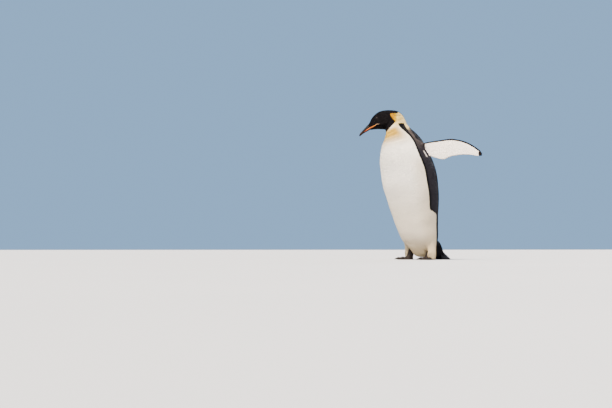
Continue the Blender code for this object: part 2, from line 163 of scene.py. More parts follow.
# ---- The skin ----
# One unbroken skin over trunk, neck, head, legs, rump and flippers. It lies inside the frame's outline by
# the depth of the coat, and carries the same markings as the feathers that grow from it.

NECK_TOP = 0.946
# Height, forward, left, turn and lean in degrees, half width and half depth of each section.
TRUNK_AND_NECK = [
    (0.020, -0.0175, 0.000, 0, 0, 0.043, 0.029),  # foot of the belly fold
    (0.036, -0.014, 0.000, 0, 0, 0.071, 0.049),
    (0.075, -0.014, 0.000, 0, 0, 0.097, 0.078),
    (0.108, -0.006, 0.000, 0, 0, 0.119, 0.104),
    (0.140, 0.003, 0.000, 0, 0, 0.137, 0.121),  # thighs
    (0.238, 0.026, 0.000, 0, 0, 0.158, 0.139),
    (0.372, 0.049, 0.000, 0, 0, 0.184, 0.162),  # belly
    (0.466, 0.066, 0.000, 0, 0, 0.198, 0.177),
    (0.566, 0.082, 0.000, 0, 0, 0.201, 0.180),  # breast
    (0.640, 0.099, 0.000, 0, 3, 0.193, 0.174),
    (0.700, 0.118, 0.000, 0, 7, 0.176, 0.158),  # shoulders
    (0.760, 0.132, 0.000, 3, 11, 0.149, 0.141),
    (0.806, 0.147, -0.001, 7, 15, 0.122, 0.118),
    (0.841, 0.160, -0.004, 12, 19, 0.097, 0.094),  # base of the neck
    (0.870, 0.168, -0.010, 18, 22, 0.078, 0.078),
    (0.898, 0.173, -0.017, 24, 27, 0.067, 0.074),
    (0.925, 0.183, -0.025, 30, 37, 0.058, 0.073),  # nape
    (NECK_TOP, 0.200, -0.033, 30, 48, 0.045, 0.061),
]
HEAD_AT = (0.240, -0.050, 0.935)  # forward, left and up
HEAD_TURN = np.radians(30)  # to the bird's right
HEAD_BOW = np.radians(24)  # below level
# Ahead, top, bottom and half width.
HEAD = [
    (-0.117, -0.004, -0.036, 0.020),
    (-0.101, 0.019, -0.050, 0.037),
    (-0.073, 0.0375, -0.058, 0.047),
    (-0.040, 0.0530, -0.065, 0.053),
    (-0.010, 0.0620, -0.068, 0.055),  # crown
    (0.018, 0.0640, -0.064, 0.053),
    (0.048, 0.0565, -0.049, 0.043),  # brow and throat
    (0.074, 0.0435, -0.037, 0.029),
    (0.098, 0.0240, -0.029, 0.0165),
    (0.112, 0.0168, -0.0255, 0.0120),  # feather edge at the bill
]
# Height, forward, out, half width and half depth.
LEG = [
    (0.0065, 0.008, 0.100, 0.022, 0.026),
    (0.018, 0.008, 0.099, 0.026, 0.030),
    (0.055, 0.008, 0.097, 0.029, 0.034),
    (0.095, 0.008, 0.091, 0.035, 0.044),
    (0.150, 0.008, 0.081, 0.041, 0.050),
    (0.215, 0.012, 0.070, 0.036, 0.045),
]
LEG_FORWARD = {"left": -0.037, "right": 0.020}
# Forward, middle, half width and half height.
TAIL_CORE = [
    (-0.070, 0.071, 0.037, 0.069),
    (-0.100, 0.071, 0.044, 0.069),
    (-0.125, 0.069, 0.048, 0.067),
    (-0.136, 0.063, 0.049, 0.061),
    (-0.143, 0.052, 0.050, 0.050),
    (-0.149, 0.041, 0.050, 0.038),
    (-0.158, 0.033, 0.046, 0.028),
    (-0.168, 0.026, 0.042, 0.020),
    (-0.178, 0.019, 0.035, 0.008),
]
FLIPPER_TIP = 0.359
# Out from the shoulder, leading edge, trailing edge and thickness.
FLIPPER = [
    (-0.060, 0.014, 0.020, 0.030),  # root, inside the shoulder
    (-0.025, 0.024, 0.032, 0.034),
    (0.005, 0.030, 0.044, 0.032),
    (0.044, 0.036, 0.064, 0.026),
    (0.084, 0.041, 0.078, 0.022),
    (0.118, 0.0455, 0.084, 0.020),  # elbow lobe
    (0.150, 0.0490, 0.070, 0.018),
    (0.182, 0.0485, 0.061, 0.0165),  # wrist
    (0.240, 0.0360, 0.0545, 0.0145),
    (0.286, 0.0160, 0.0570, 0.0125),
    (0.322, -0.0080, 0.0630, 0.0105),
    (0.345, -0.0260, 0.0650, 0.0085),
    (FLIPPER_TIP, -0.0440, 0.0630, 0.0060),
]
SHOULDER_AT = (0.038, 0.140, 0.741)  # forward, out and up
FLIPPER_SWEEP = np.radians(55)
FLIPPER_CURL = 0.018
TRAILING_EDGE = 0.0018
SIDES = {"left": 1, "right": -1}


def smooth_rows(rows, steps):
    """Rows of numbers, one a section, on a Catmull-Rom curve in equal steps of the row index."""
    rows = np.array(rows, float)
    padded = np.vstack([2 * rows[0] - rows[1], rows, 2 * rows[-1] - rows[-2]])
    at = np.linspace(0, len(rows) - 1, steps)
    first = np.minimum(at.astype(int), len(rows) - 2)
    t = (at - first)[:, None]
    before, start, end, after = (padded[first + k] for k in range(4))
    bend = (2 * before - 5 * start + 4 * end - after) * t**2
    return 0.5 * (2 * start + (end - before) * t + bend + (3 * start - before - 3 * end + after) * t**3)


def columns_at(rows, where):
    """Every column of a table but the first, between its rows, at given values of the first."""
    rows = np.asarray(rows)
    return [np.interp(where, rows[:, 0], column) for column in rows.T[1:]]


def bird_place(forward, left, up):
    """Places on the bird, in the frame, from distances forward, left and up from the ankle line."""
    return np.stack(np.broadcast_arrays(left, ORIGIN_FORWARD - forward, up), axis=-1)


def head_place(ahead, out, up):
    """Places given along the head's own axis, which is turned and bowed."""
    flat = np.cos(HEAD_BOW) * ahead + np.sin(HEAD_BOW) * up
    rise = np.cos(HEAD_BOW) * up - np.sin(HEAD_BOW) * ahead
    left = HEAD_AT[1] + np.cos(HEAD_TURN) * out - np.sin(HEAD_TURN) * flat
    forward = HEAD_AT[0] + np.cos(HEAD_TURN) * flat + np.sin(HEAD_TURN) * out
    return bird_place(forward, left, HEAD_AT[2] + rise)


def along_head(places):
    """The other way: how far ahead, out and up places are along the head's own axis."""
    left = places[:, 0] - HEAD_AT[1]
    forward = ORIGIN_FORWARD - places[:, 1] - HEAD_AT[0]
    rise = places[:, 2] - HEAD_AT[2]
    flat = np.cos(HEAD_TURN) * forward - np.sin(HEAD_TURN) * left
    out = np.cos(HEAD_TURN) * left + np.sin(HEAD_TURN) * forward
    ahead = np.cos(HEAD_BOW) * flat - np.sin(HEAD_BOW) * rise
    return ahead, out, np.sin(HEAD_BOW) * flat + np.cos(HEAD_BOW) * rise


def turned(count):
    return np.arange(count) * 2 * np.pi / count


def shells(name, grid, looped=False):
    """One mesh of closed shells. Each is a grid of rings: a wall between every ring and the next, and a fan
    to the mean point at either end, or a wall from the last ring to the first if it is looped."""
    grid = np.asarray(grid, float)
    grid = grid[None] if grid.ndim == 3 else grid
    count, rows, around = grid.shape[:3]
    row = np.arange(rows if looped else rows - 1)[:, None]
    column = np.arange(around)[None]
    low, high = row * around, (row + 1) % rows * around
    beside = (column + 1) % around
    walls = np.stack([low + column, low + beside, high + beside, high + column], axis=-1).reshape(-1, 4)
    each = rows * around
    places = grid.reshape(count, each, 3)
    faces = [np.concatenate([walls[:, [0, 1, 2]], walls[:, [0, 2, 3]]])]
    if not looped:
        ends = np.stack([grid[:, 0].mean(axis=1), grid[:, -1].mean(axis=1)], axis=1)
        places = np.concatenate([places, ends], axis=1)
        ring, last = np.arange(around), (rows - 1) * around
        after = (ring + 1) % around
        faces.append(np.stack([after, ring, np.full(around, each)], axis=1))
        faces.append(np.stack([last + ring, last + after, np.full(around, each + 1)], axis=1))
        each += 2
    faces = np.concatenate(faces)
    corners = places[0][faces]
    if np.einsum("ij,ij->i", corners[:, 0], np.cross(corners[:, 1], corners[:, 2])).sum() < 0:
        faces = faces[:, ::-1]
    faces = (faces[None] + each * np.arange(count)[:, None, None]).reshape(-1, 3)
    return triangle_mesh(name, places.reshape(-1, 3), faces)


def triangle_mesh(name, places, faces):
    mesh = bpy.data.meshes.new(name)
    mesh.vertices.add(len(places))
    mesh.vertices.foreach_set("co", np.asarray(places, np.float32).ravel())
    mesh.loops.add(3 * len(faces))
    mesh.loops.foreach_set("vertex_index", np.asarray(faces, np.int32).ravel())
    mesh.polygons.add(len(faces))
    mesh.polygons.foreach_set("loop_start", np.arange(0, 3 * len(faces), 3, dtype=np.int32))
    mesh.update(calc_edges=True)
    mesh.shade_smooth()
    return mesh


def oval(half_width, half_depth, count):
    """How far across and along points round an oval lie: width times sine, and depth times cosine."""
    return half_width * np.sin(turned(count)), half_depth * np.cos(turned(count))


def trunk_rings(rows, count):
    """Ovals carried up the spine, each tipped forward by its lean and swung to the right by its turn."""
    section = smooth_rows(TRUNK_AND_NECK, rows).T[:, :, None]
    height, forward, left, turn, lean, half_width, half_depth = section
    turn, lean = np.radians(turn), np.radians(lean)
    sideways, frontways = oval(half_width, half_depth, count)
    to_front = forward + frontways * np.cos(lean) * np.cos(turn) + sideways * np.sin(turn)
    to_left = left + sideways * np.cos(turn) - frontways * np.cos(lean) * np.sin(turn)
    return bird_place(to_front, to_left, height - frontways * np.sin(lean))


def head_rings(rows, count):
    """Ovals along the head's axis, as high as from bottom to top."""
    ahead, top, bottom, half_width = smooth_rows(HEAD, rows).T[:, :, None]
    out, over = oval(half_width, (top - bottom) / 2, count)
    return head_place(ahead + 0 * over, out, (top + bottom) / 2 + over)


def leg_rings(side, rows, count):
    """Upright ovals from the floor to the thigh."""
    height, forward, out, half_width, half_depth = smooth_rows(LEG, rows).T[:, :, None]
    across, onward = oval(half_width, half_depth, count)
    return bird_place(forward + LEG_FORWARD[side] + onward, SIDES[side] * out + across, height)


def tail_core_rings(rows, count):
    forward, middle, half_width, half_height = smooth_rows(TAIL_CORE, rows).T[:, :, None]
    across, over = oval(half_width, half_height, count)
    return bird_place(forward, across, middle + over)


FLIPPER_FEATHERS = 0.0010  # depth of the flipper's feathers


def fullness(chord):
    """How thick an aerofoil is along its chord: 1.55 sqrt(chord) (1 - chord) + 0.35 chord (1 - chord)."""
    return 1.55 * np.sqrt(chord) * (1 - chord) + 0.35 * chord * (1 - chord)


def flipper_rings(side, rows, count, under=0.0):
    """Aerofoil rings out along the flipper, whose chord runs as (1 - cosine) / 2 from the leading edge to
    the trailing one. The tip bends back with the square of its reach. Under is how far they lie inside."""
    out, lead, trail, thickness = smooth_rows(FLIPPER, rows).T[:, :, None]
    lead, trail, thickness = lead - under, trail - under, np.maximum(thickness - 2 * under, 0.003)
    chord = (1 - np.cos(turned(count))) / 2
    half = (thickness - TRAILING_EDGE) * fullness(chord) / 2 + TRAILING_EDGE / 2 * np.sqrt(chord)
    face = np.sign(np.sin(turned(count)).round(9))
    back = FLIPPER_CURL * np.maximum(out / FLIPPER_TIP, 0) ** 2 + half * face
    up = lead - (lead + trail) * chord
    forward, shoulder_out, shoulder_up = SHOULDER_AT
    across = shoulder_out + out * np.cos(FLIPPER_SWEEP) - back * np.sin(FLIPPER_SWEEP)
    behind = out * np.sin(FLIPPER_SWEEP) + back * np.cos(FLIPPER_SWEEP)
    return bird_place(forward - behind, SIDES[side] * across, shoulder_up + up)


def settled(source):
    """A new mesh that holds the object as its modifiers leave it. The object itself goes."""
    bpy.context.view_layer.update()
    graph = bpy.context.evaluated_depsgraph_get()
    mesh = bpy.data.meshes.new_from_object(source.evaluated_get(graph))
    bpy.data.objects.remove(source)
    return mesh


def joined(name, meshes):
    """One mesh that holds several, each as its own closed shells."""
    starts = np.cumsum([0] + [len(mesh.vertices) for mesh in meshes[:-1]])
    places = np.concatenate([read(mesh.vertices, "co", 3) for mesh in meshes])
    faces = [read(mesh.loops, "vertex_index", 1, np.int32).reshape(-1, 3) for mesh in meshes]
    return triangle_mesh(name, places, np.concatenate([f + start for f, start in zip(faces, starts)]))


def read(items, name, width, kind=np.float32):
    found = np.empty(len(items) * width, kind)
    items.foreach_get(name, found)
    return found.reshape(-1, width)


def places_of(mesh):
    return read(mesh.vertices, "co", 3).astype(float)


def write_places(mesh, places):
    mesh.vertices.foreach_set("co", np.asarray(places, np.float32).ravel())
    mesh.update()


def melted(name, forms, voxel, easing):
    """Closed forms melted into one surface of even cells, and eased for some rounds."""
    rough = show(name, joined(name, forms))
    melt = rough.modifiers.new("melt", "REMESH")
    melt.mode = "VOXEL"
    melt.voxel_size = voxel
    ease = rough.modifiers.new("ease", "SMOOTH")
    ease.factor = 0.5
    ease.iterations = easing
    return settled(rough)


SKIN_VOXEL = 0.0043
SKIN_EASING = 10


def body_form():
    forms = [
        shells("trunk_form", trunk_rings(140, 96)),
        shells("head_form", head_rings(60, 72)),
        shells("leg_form_left", leg_rings("left", 30, 40)),
        shells("leg_form_right", leg_rings("right", 30, 40)),
        shells("tail_form", tail_core_rings(20, 40)),
    ]
    return melted("body_form", forms, SKIN_VOXEL, SKIN_EASING)


SPINE = smooth_rows(TRUNK_AND_NECK, 400)
SpinePlace = namedtuple("SpinePlace", "height angle reach girth down")


def along_spine(places):
    """Where places lie along and round the spine. The height is that of the tipped section through the
    place, found in small steps along the section's axis. The angle runs from the breast, 0, to the back,
    180 degrees, left positive. The reach is 1 on the section's oval, the girth is its half width, and down
    is the way that the spine runs to the tail."""
    height = places[:, 2].clip(SPINE[0, 0], SPINE[-1, 0])
    for _ in range(12):
        forward, left, turn, lean, half_width, half_depth = columns_at(SPINE, height)
        turn, lean = np.radians(turn), np.radians(lean)
        off = places - bird_place(forward, left, height)
        ahead = np.stack([-np.sin(turn), -np.cos(turn), 0 * turn], axis=1)
        axis = ahead * np.sin(lean)[:, None] + np.array([0, 0, 1]) * np.cos(lean)[:, None]
        front = ahead * np.cos(lean)[:, None] - np.array([0, 0, 1]) * np.sin(lean)[:, None]
        beyond = np.einsum("ij,ij->i", off, axis)
        height = (height + 0.7 * beyond).clip(SPINE[0, 0], SPINE[-1, 0])
    to_left = off[:, 0] * np.cos(turn) - off[:, 1] * np.sin(turn)
    to_front = np.einsum("ij,ij->i", off, front)
    angle = np.degrees(np.arctan2(to_left, to_front))
    reach = np.hypot(to_left / half_width, to_front / half_depth)
    return SpinePlace(height, angle, reach, half_width, -axis)


FLIPPER_ROWS = smooth_rows(FLIPPER, 200)
FlipperPlace = namedtuple("FlipperPlace", "out up back chord clear")


def along_flipper(places):
    """Where places lie on the flipper of their side: out from the shoulder, up from its axis, to the back
    of its middle surface, and as a share of its chord. Clear is how far they lie off it."""
    across = np.abs(places[:, 0]) - SHOULDER_AT[1]
    behind = places[:, 1] - (ORIGIN_FORWARD - SHOULDER_AT[0])
    up = places[:, 2] - SHOULDER_AT[2]
    out = across * np.cos(FLIPPER_SWEEP) + behind * np.sin(FLIPPER_SWEEP)
    back = behind * np.cos(FLIPPER_SWEEP) - across * np.sin(FLIPPER_SWEEP)
    back = back - FLIPPER_CURL * np.maximum(out / FLIPPER_TIP, 0) ** 2
    lead, trail, thickness = columns_at(FLIPPER_ROWS, out)
    chord = (lead - up) / (lead + trail)
    half = (thickness - TRAILING_EDGE) * fullness(chord.clip(0, 1)) / 2 + TRAILING_EDGE / 2
    clear = np.max([np.abs(back) - half, up - lead, -trail - up, out - FLIPPER_TIP], axis=0)
    return FlipperPlace(out, up, back, chord, clear)


def rise(low, high, value):
    """0 up to low, 1 from high on, and a smooth rise between them. It falls if high is the lower."""
    share = ((value - low) / (high - low)).clip(0, 1)
    return share * share * (3 - 2 * share)


def ripple(places, length, seed, stretch=(1, 1, 1)):
    """Slow unevenness between about -1 and 1: the mean of nine waves of about one length."""
    chance = np.random.default_rng(seed)
    ways = chance.normal(size=(9, 3))
    ways /= np.linalg.norm(ways, axis=1, keepdims=True)
    ways *= 2 * np.pi / length * chance.uniform(0.7, 1.4, (9, 1)) / np.array(stretch)
    return 1.6 * np.sin(places @ ways.T + chance.uniform(0, 2 * np.pi, 9)).mean(axis=1)


def eased(places, edges, weight, rounds):
    """Vertices drawn towards the mean of their neighbours, each by its weight, for some rounds."""
    ends = np.concatenate([edges, edges[:, ::-1]])
    neighbours = np.maximum(np.bincount(ends[:, 0], minlength=len(places)), 1)[:, None]
    for _ in range(rounds):
        total = [np.bincount(ends[:, 0], axis[ends[:, 1]], len(places)) for axis in places.T]
        places = places + weight[:, None] * (np.stack(total, axis=1) / neighbours - places)
    return places


EYE_AT = (0.040, 0.0376, 0.025)  # ahead, out and up along the head
EYE_RADIUS = 0.0085
TRUNK_COAT = 0.0024  # depth of the closed coat over the skin
NECK_COAT = 0.0020
HEAD_COAT = 0.0015
FACE_COAT = 0.0009


def coat_depth(places):
    """How deep the coat is: most on the trunk, less on the neck and head, and least on the face."""
    spine = along_spine(places)
    ahead, _, up = along_head(places)
    depth = TRUNK_COAT + (NECK_COAT - TRUNK_COAT) * rise(0.70, 0.84, spine.height)
    on_head = rise(-0.125, -0.085, ahead) * rise(-0.085, -0.055, up)
    depth = depth + (HEAD_COAT - depth) * on_head
    return depth + (FACE_COAT - depth) * rise(0.030, 0.085, ahead) * on_head


def skin_lift(places):
    """How far the skin stands off its form: less the coat's depth, with shallow lengthwise furrows on the
    trunk, creases across the throat, where the bowed head folds it, and a soft bank round each eye."""
    spine = along_spine(places)
    ahead, out, up = along_head(places)
    trunk = rise(0.88, 0.78, spine.height) * rise(0.02, 0.10, places[:, 2])
    lift = 0.0007 * ripple(places, 0.045, 1, (1, 1, 4)) * trunk + 0.0016 * ripple(places, 0.17, 2) * trunk
    throat = rise(105, 50, np.abs(spine.angle)) * rise(0.80, 0.83, spine.height)
    for height in (0.838, 0.861, 0.884):
        lift = lift - 0.0007 * throat * np.exp(-(((spine.height - height) / 0.0055) ** 2))
    brood_fold = rise(75, 30, np.abs(spine.angle)) * np.exp(-(((places[:, 2] - 0.098) / 0.012) ** 2))
    lift = lift - 0.0035 * brood_fold
    from_eye = np.sqrt((ahead - EYE_AT[0]) ** 2 + (np.abs(out) - EYE_AT[1]) ** 2 + (up - EYE_AT[2]) ** 2)
    lift = lift + 0.0016 * np.exp(-((from_eye / 0.011) ** 2))
    return lift - coat_depth(places)


JUNCTION = 0.020  # how far the shoulder's fillet reaches
THIGH_EASING = 180


def leg_groove(places):
    """How deep the slit between the belly fold and the front of each leg is, where both ovals meet."""
    spine = along_spine(places)
    depth = 0 * places[:, 0]
    for side, sign in SIDES.items():
        forward, out, half_width, half_depth = columns_at(LEG, places[:, 2])
        across = (sign * places[:, 0] - out) / half_width
        ahead = (ORIGIN_FORWARD - places[:, 1] - forward - LEG_FORWARD[side]) / half_depth
        off_leg = (np.hypot(across, ahead) - 1) * half_width
        meet = np.exp(-((off_leg / 0.009) ** 2)) * np.exp(-(((spine.reach - 1) * spine.girth / 0.015) ** 2))
        depth = np.maximum(depth, meet * rise(-0.35, 0.15, ahead) * rise(0.5, 0.0, across))
    return 0.018 * depth * rise(0.150, 0.110, places[:, 2])


def skin_mesh():
    """The eased body, let in by the coat's depth, with the flippers filleted into the shoulders."""
    body = show("skin", body_form())
    places, away = read(body.data.vertices, "co", 3), read(body.data.vertices, "normal", 3)
    write_places(body.data, places + skin_lift(places)[:, None] * away)
    for side in SIDES:
        rings = flipper_rings(side, 120, 72, FLIPPER_FEATHERS)
        flipper = show(f"flipper_form_{side}", shells(f"flipper_form_{side}", rings))
        union = body.modifiers.new(side, "BOOLEAN")
        union.operation, union.solver, union.object = "UNION", "EXACT", flipper
    mesh = settled(body)
    for side in SIDES:
        bpy.data.objects.remove(bpy.data.objects[f"flipper_form_{side}"])
    places = read(mesh.vertices, "co", 3)
    edges = read(mesh.edges, "vertices", 2, np.int32)
    spine, flipper = along_spine(places), along_flipper(places)
    near = np.maximum(np.abs(spine.reach - 1) * spine.girth, flipper.clear)
    places = eased(places, edges, 0.5 * rise(JUNCTION, 0.25 * JUNCTION, near), 24)
    thigh = rise(0.045, 0.090, places[:, 2]) * rise(0.27, 0.20, places[:, 2])
    thigh = thigh * rise(0.045, 0.065, np.abs(places[:, 0])) * (flipper.clear > 0.05)
    places = eased(places, edges, 0.5 * thigh, THIGH_EASING)
    write_places(mesh, places)
    write_places(mesh, places - leg_groove(places)[:, None] * read(mesh.vertices, "normal", 3))
    mesh.name = "skin"
    mesh.shade_smooth()
    return mesh


def blend(first, second, share):
    """Colours part of the way from the first to the second."""
    return first + (second - first) * np.asarray(share)[..., None]


# The hood's edge along the head: its rear one as up and ahead, and the others as ahead and up. Behind it
# lie the ear patches, and under it the throat.
HOOD_REAR = [(-0.050, -0.062), (-0.029, -0.054), (-0.012, -0.050), (0.006, -0.049), (0.018, -0.056)]
HOOD_UNDER = [(-0.062, -0.050), (-0.038, -0.063), (-0.013, -0.073), (0.015, -0.083), (0.040, -0.087)]
PATCH_TOP = [
    (-0.110, -0.031), (-0.103, -0.018), (-0.094, -0.005), (-0.077, 0.005), (-0.060, 0.011), (-0.045, 0.012),
]
# The black stripe down the nape: the height on the spine, and the angle where it begins on either side.
NAPE_EDGE = [
    (0.70, 150), (0.74, 146), (0.760, 128), (0.775, 115), (0.790, 113), (0.803, 119), (0.825, 125),
    (0.845, 136), (0.857, 156), (0.870, 170), (0.915, 171), (0.93, 162), (0.945, 150),
]
# The edge between the white breast and the dark back, and the width of the black border behind it, both by
# the height on the spine.
BACK_EDGE = [
    (0.02, 116), (0.09, 114), (0.13, 117), (0.28, 119), (0.298, 118), (0.306, 114), (0.314, 106),
    (0.322, 99), (0.332, 95.5), (0.350, 95), (0.391, 95), (0.453, 94.5), (0.517, 93), (0.581, 92.5),
    (0.673, 91), (0.724, 93), (0.768, 97), (0.815, 100), (0.855, 98), (0.880, 98), (0.900, 102),
]
BORDER_WIDTH = [
    (0.30, 0.016), (0.45, 0.017), (0.55, 0.017), (0.64, 0.016), (0.70, 0.014), (0.745, 0.014),
    (0.80, 0.015), (0.825, 0.020), (0.845, 0.032), (0.865, 0.041), (0.885, 0.047), (0.905, 0.048),
]
BORDER_TOP = 0.902  # over the floor
HOOD_STRIPE_FOOT = 0.858  # height on the spine, over which the stripe has the hood's feathers
STREAK_ANGLE = 111  # of the pale streak under each flipper, round from the breast
PATCH_SLANT = 0.46  # how far the patch's tones lean forward as they go down
DARK_TIP = (0.363, -0.051)  # middle of the flipper's dark tip, out and up

BREAST_WHITE = linear("#f8f3e9")
# The belly's cream is partly its own tone and partly painted shade on the lower belly.
BELLY_CREAM_AND_SHADE = linear("#e8dcc8")
THROAT_BUFF = linear("#b08c32")
NECK_CREAM = linear("#dac183")
PATCH_PALE = linear("#cbb062")
PATCH_YELLOW = linear("#a07e00")
PATCH_ORANGE = linear("#986600")
HOOD_BLACK = linear("#0a080b")
BORDER_BLACK = linear("#0b090c")
BACK_SLATE = linear("#201e24")
# The shoulders' paler grey is a painted highlight on their slate grey.
SHOULDER_HIGHLIGHT_GREY = linear("#4a423f")
FLIPPER_SLATE = linear("#1b1a20")
FLIPPER_WHITE = linear("#ece3da")
FLIPPER_EDGE = linear("#120b0a")
# The legs' cream is partly their own tone and partly painted shade low on the bird.
TROUSER_CREAM_AND_SHADE = linear("#b7a47f")
# Painted shade: the darker cream of the flanks.
FLANK_SHADE_CREAM = linear("#d2c3a8")


def at_rows(rows, where):
    """A table of two columns, looked up between its rows."""
    return columns_at(rows, where)[0]


def on_flipper(spine, flipper):
    """Whether places lie on a flipper and not on the trunk that it grows from."""
    return (flipper.clear < 0.006) & (flipper.out > 0) & ((spine.reach - 1) * spine.girth > 0.004)


def round_past(spine, angle):
    """How far round the spine places lie behind an angle from the breast, in metres."""
    return np.radians(np.abs(spine.angle) - angle) * spine.girth


def hood_share(spine, ahead, up):
    """1 in the black hood, crown and nape stripe, and 0 outside. A place is inside by its least way in from
    the hood's rear and under edges, by its height over the patch's top, or by its way into the stripe."""
    rear = ahead - at_rows(HOOD_REAR, up)
    under = up - at_rows(HOOD_UNDER, ahead)
    over = up - at_rows(PATCH_TOP, ahead)
    stripe = round_past(spine, at_rows(NAPE_EDGE, spine.height))
    stripe = np.where(spine.height > HOOD_STRIPE_FOOT, stripe, -1)
    behind = rise(-0.088, -0.110, ahead)
    inside = np.maximum(np.minimum(rear, under), over + (stripe - over) * behind)
    return rise(-0.0012, 0.0012, inside)


def plumage(places):
    """The colour of the plumage at places on the skin, in linear light."""
    spine, flipper = along_spine(places), along_flipper(places)
    ahead, out, up = along_head(places)
    height, round_by = spine.height, np.abs(spine.angle)

    # White breast, creamier below, darker low down and on the flanks as painted shade, with a buff wash
    # under the throat and cream on the sides of the neck
    colour = blend(BELLY_CREAM_AND_SHADE, BREAST_WHITE, rise(0.22, 0.60, places[:, 2]))
    # Painted shade: the flanks are drawn a darker cream towards the back edge.
    colour = blend(colour, FLANK_SHADE_CREAM, 0.7 * rise(58, 92, round_by) * rise(0.70, 0.60, height))
    # Partly painted shade: the legs and the foot of the belly are drawn a darker cream, their own cream
    # darkened for the shade low down.
    colour = blend(colour, TROUSER_CREAM_AND_SHADE, 0.9 * rise(0.20, 0.04, places[:, 2]))
    wash = rise(0.745, 0.850, height) * rise(120, 65, round_by)
    colour = blend(colour, THROAT_BUFF, wash * rise(0.910, 0.870, height))
    cream = rise(0.865, 0.890, height) * rise(55, 95, round_by) * rise(-0.10, -0.085, up)
    cream = np.maximum(cream, rise(0.850, 0.878, places[:, 2]) * rise(100, 120, round_by))
    colour = blend(colour, NECK_CREAM, cream)

    # Ear patches, orange at the hood and fading back through yellow
    behind = at_rows(HOOD_REAR, up) - ahead
    in_patch = rise(-0.066, -0.046, up) * rise(0.040, 0.026, up) * rise(0.02, 0.03, np.abs(out))
    colour = blend(colour, PATCH_PALE, in_patch * rise(0.075, 0.040, behind))
    forward = ahead + PATCH_SLANT * up
    colour = blend(colour, PATCH_YELLOW, in_patch * rise(-0.104, -0.083, forward))
    colour = blend(colour, PATCH_ORANGE, 0.85 * in_patch * rise(-0.086, -0.068, forward))

    # Dark back in its black border, darker in its middle as painted shade, paler on the shoulders as a
    # painted highlight, and black down the nape
    sideways = round_past(spine, at_rows(BACK_EDGE, height))
    past = np.minimum(sideways, BORDER_TOP - places[:, 2])
    back = blend(BACK_SLATE, BORDER_BLACK, 0.55 * rise(0.34, 0.16, places[:, 2]))
    # Painted shade: the back is drawn darker towards its middle, where its far side lies in shadow.
    back = blend(back, BORDER_BLACK, 0.55 * rise(132, 150, round_by))
    # Painted highlight: the shoulders are drawn a paler grey than the slate, where the light catches them.
    back = blend(back, SHOULDER_HIGHLIGHT_GREY, rise(0.70, 0.80, height) * rise(152, 136, round_by))
    nape = round_past(spine, at_rows(NAPE_EDGE, height))
    back = blend(back, BORDER_BLACK, rise(-0.003, 0.005, nape) * rise(0.73, 0.78, height))
    back = blend(back, NECK_CREAM, rise(0.850, 0.878, places[:, 2]) * rise(0.004, -0.002, nape))
    border = rise(0.004, 0.0, sideways - at_rows(BORDER_WIDTH, height))
    back = blend(back, BORDER_BLACK, border)
    colour = blend(colour, back, rise(-0.001, 0.001, past))
    streak = rise(0.0065, 0.0045, np.abs(round_past(spine, STREAK_ANGLE))) * rise(0.662, 0.672, height)
    colour = blend(colour, FLIPPER_WHITE, streak * rise(0.708, 0.698, height))
    tail = rise(0.100, 0.112, places[:, 1] - ORIGIN_FORWARD) * rise(0.16, 0.14, places[:, 2])
    colour = blend(colour, BORDER_BLACK, tail * rise(0.072, 0.060, np.abs(places[:, 0])))

    # Black hood
    colour = blend(colour, HOOD_BLACK, hood_share(spine, ahead, up))

    # Flippers, slate outside and white inside, with a dark leading edge and tip
    ahead_of, behind_of, _ = columns_at(FLIPPER_ROWS, flipper.out)
    lead = flipper.chord * (ahead_of + behind_of)
    inner = blend(FLIPPER_WHITE, FLIPPER_EDGE, rise(0.0135, 0.0105, lead))
    from_tip = np.hypot(flipper.out - DARK_TIP[0], flipper.up - DARK_TIP[1])
    inner = blend(inner, FLIPPER_EDGE, rise(0.025, 0.019, from_tip))
    trail = rise(0.955, 0.985, flipper.chord)
    inner = blend(inner, FLIPPER_EDGE, 0.45 * trail)
    outer = blend(FLIPPER_SLATE, BORDER_BLACK, rise(0.012, 0.004, lead))
    outer = blend(outer, FLIPPER_WHITE, 0.5 * trail * rise(0.33, 0.30, flipper.out))
    paddle = blend(inner, outer, rise(-0.0008, 0.0008, flipper.back))
    return np.where(on_flipper(spine, flipper)[:, None], paddle, colour)


def set_colours(mesh, colours):
    """Writes one colour for all, or one a vertex, as the attribute that the materials read."""
    layer = mesh.color_attributes.new("plumage", "FLOAT_COLOR", "POINT")
    opaque = np.ones((len(mesh.vertices), 4))
    opaque[:, :3] = colours
    layer.data.foreach_set("color", opaque.astype(np.float32).ravel())


def shaded(tree, shader, pattern, lights, span=(0.0, 1.0)):
    """Gives the shader the piece's own colours, made lighter and darker by a pattern. The span of the
    pattern's values is spread evenly over the lights, from the lowest to the highest."""
    colours = node(tree, "ShaderNodeAttribute", attribute_name="plumage").outputs["Color"]
    ends = {"From Min": span[0], "From Max": span[1], "To Min": lights[0], "To Max": lights[1]}
    light = node(tree, "ShaderNodeMapRange", {"Value": pattern.outputs["Fac"], **ends})
    hue = node(tree, "ShaderNodeHueSaturation", {"Color": colours, "Value": light.outputs["Result"]})
    tree.links.new(hue.outputs["Color"], shader.inputs["Base Color"])


def raised(tree, shader, pattern, strength, distance):
    """Gives the shader a fine relief, as high as the pattern times a distance."""
    height = {"Height": pattern.outputs["Fac"], "Strength": strength, "Distance": distance}
    relief = node(tree, "ShaderNodeBump", height)
    tree.links.new(relief.outputs["Normal"], shader.inputs["Normal"])


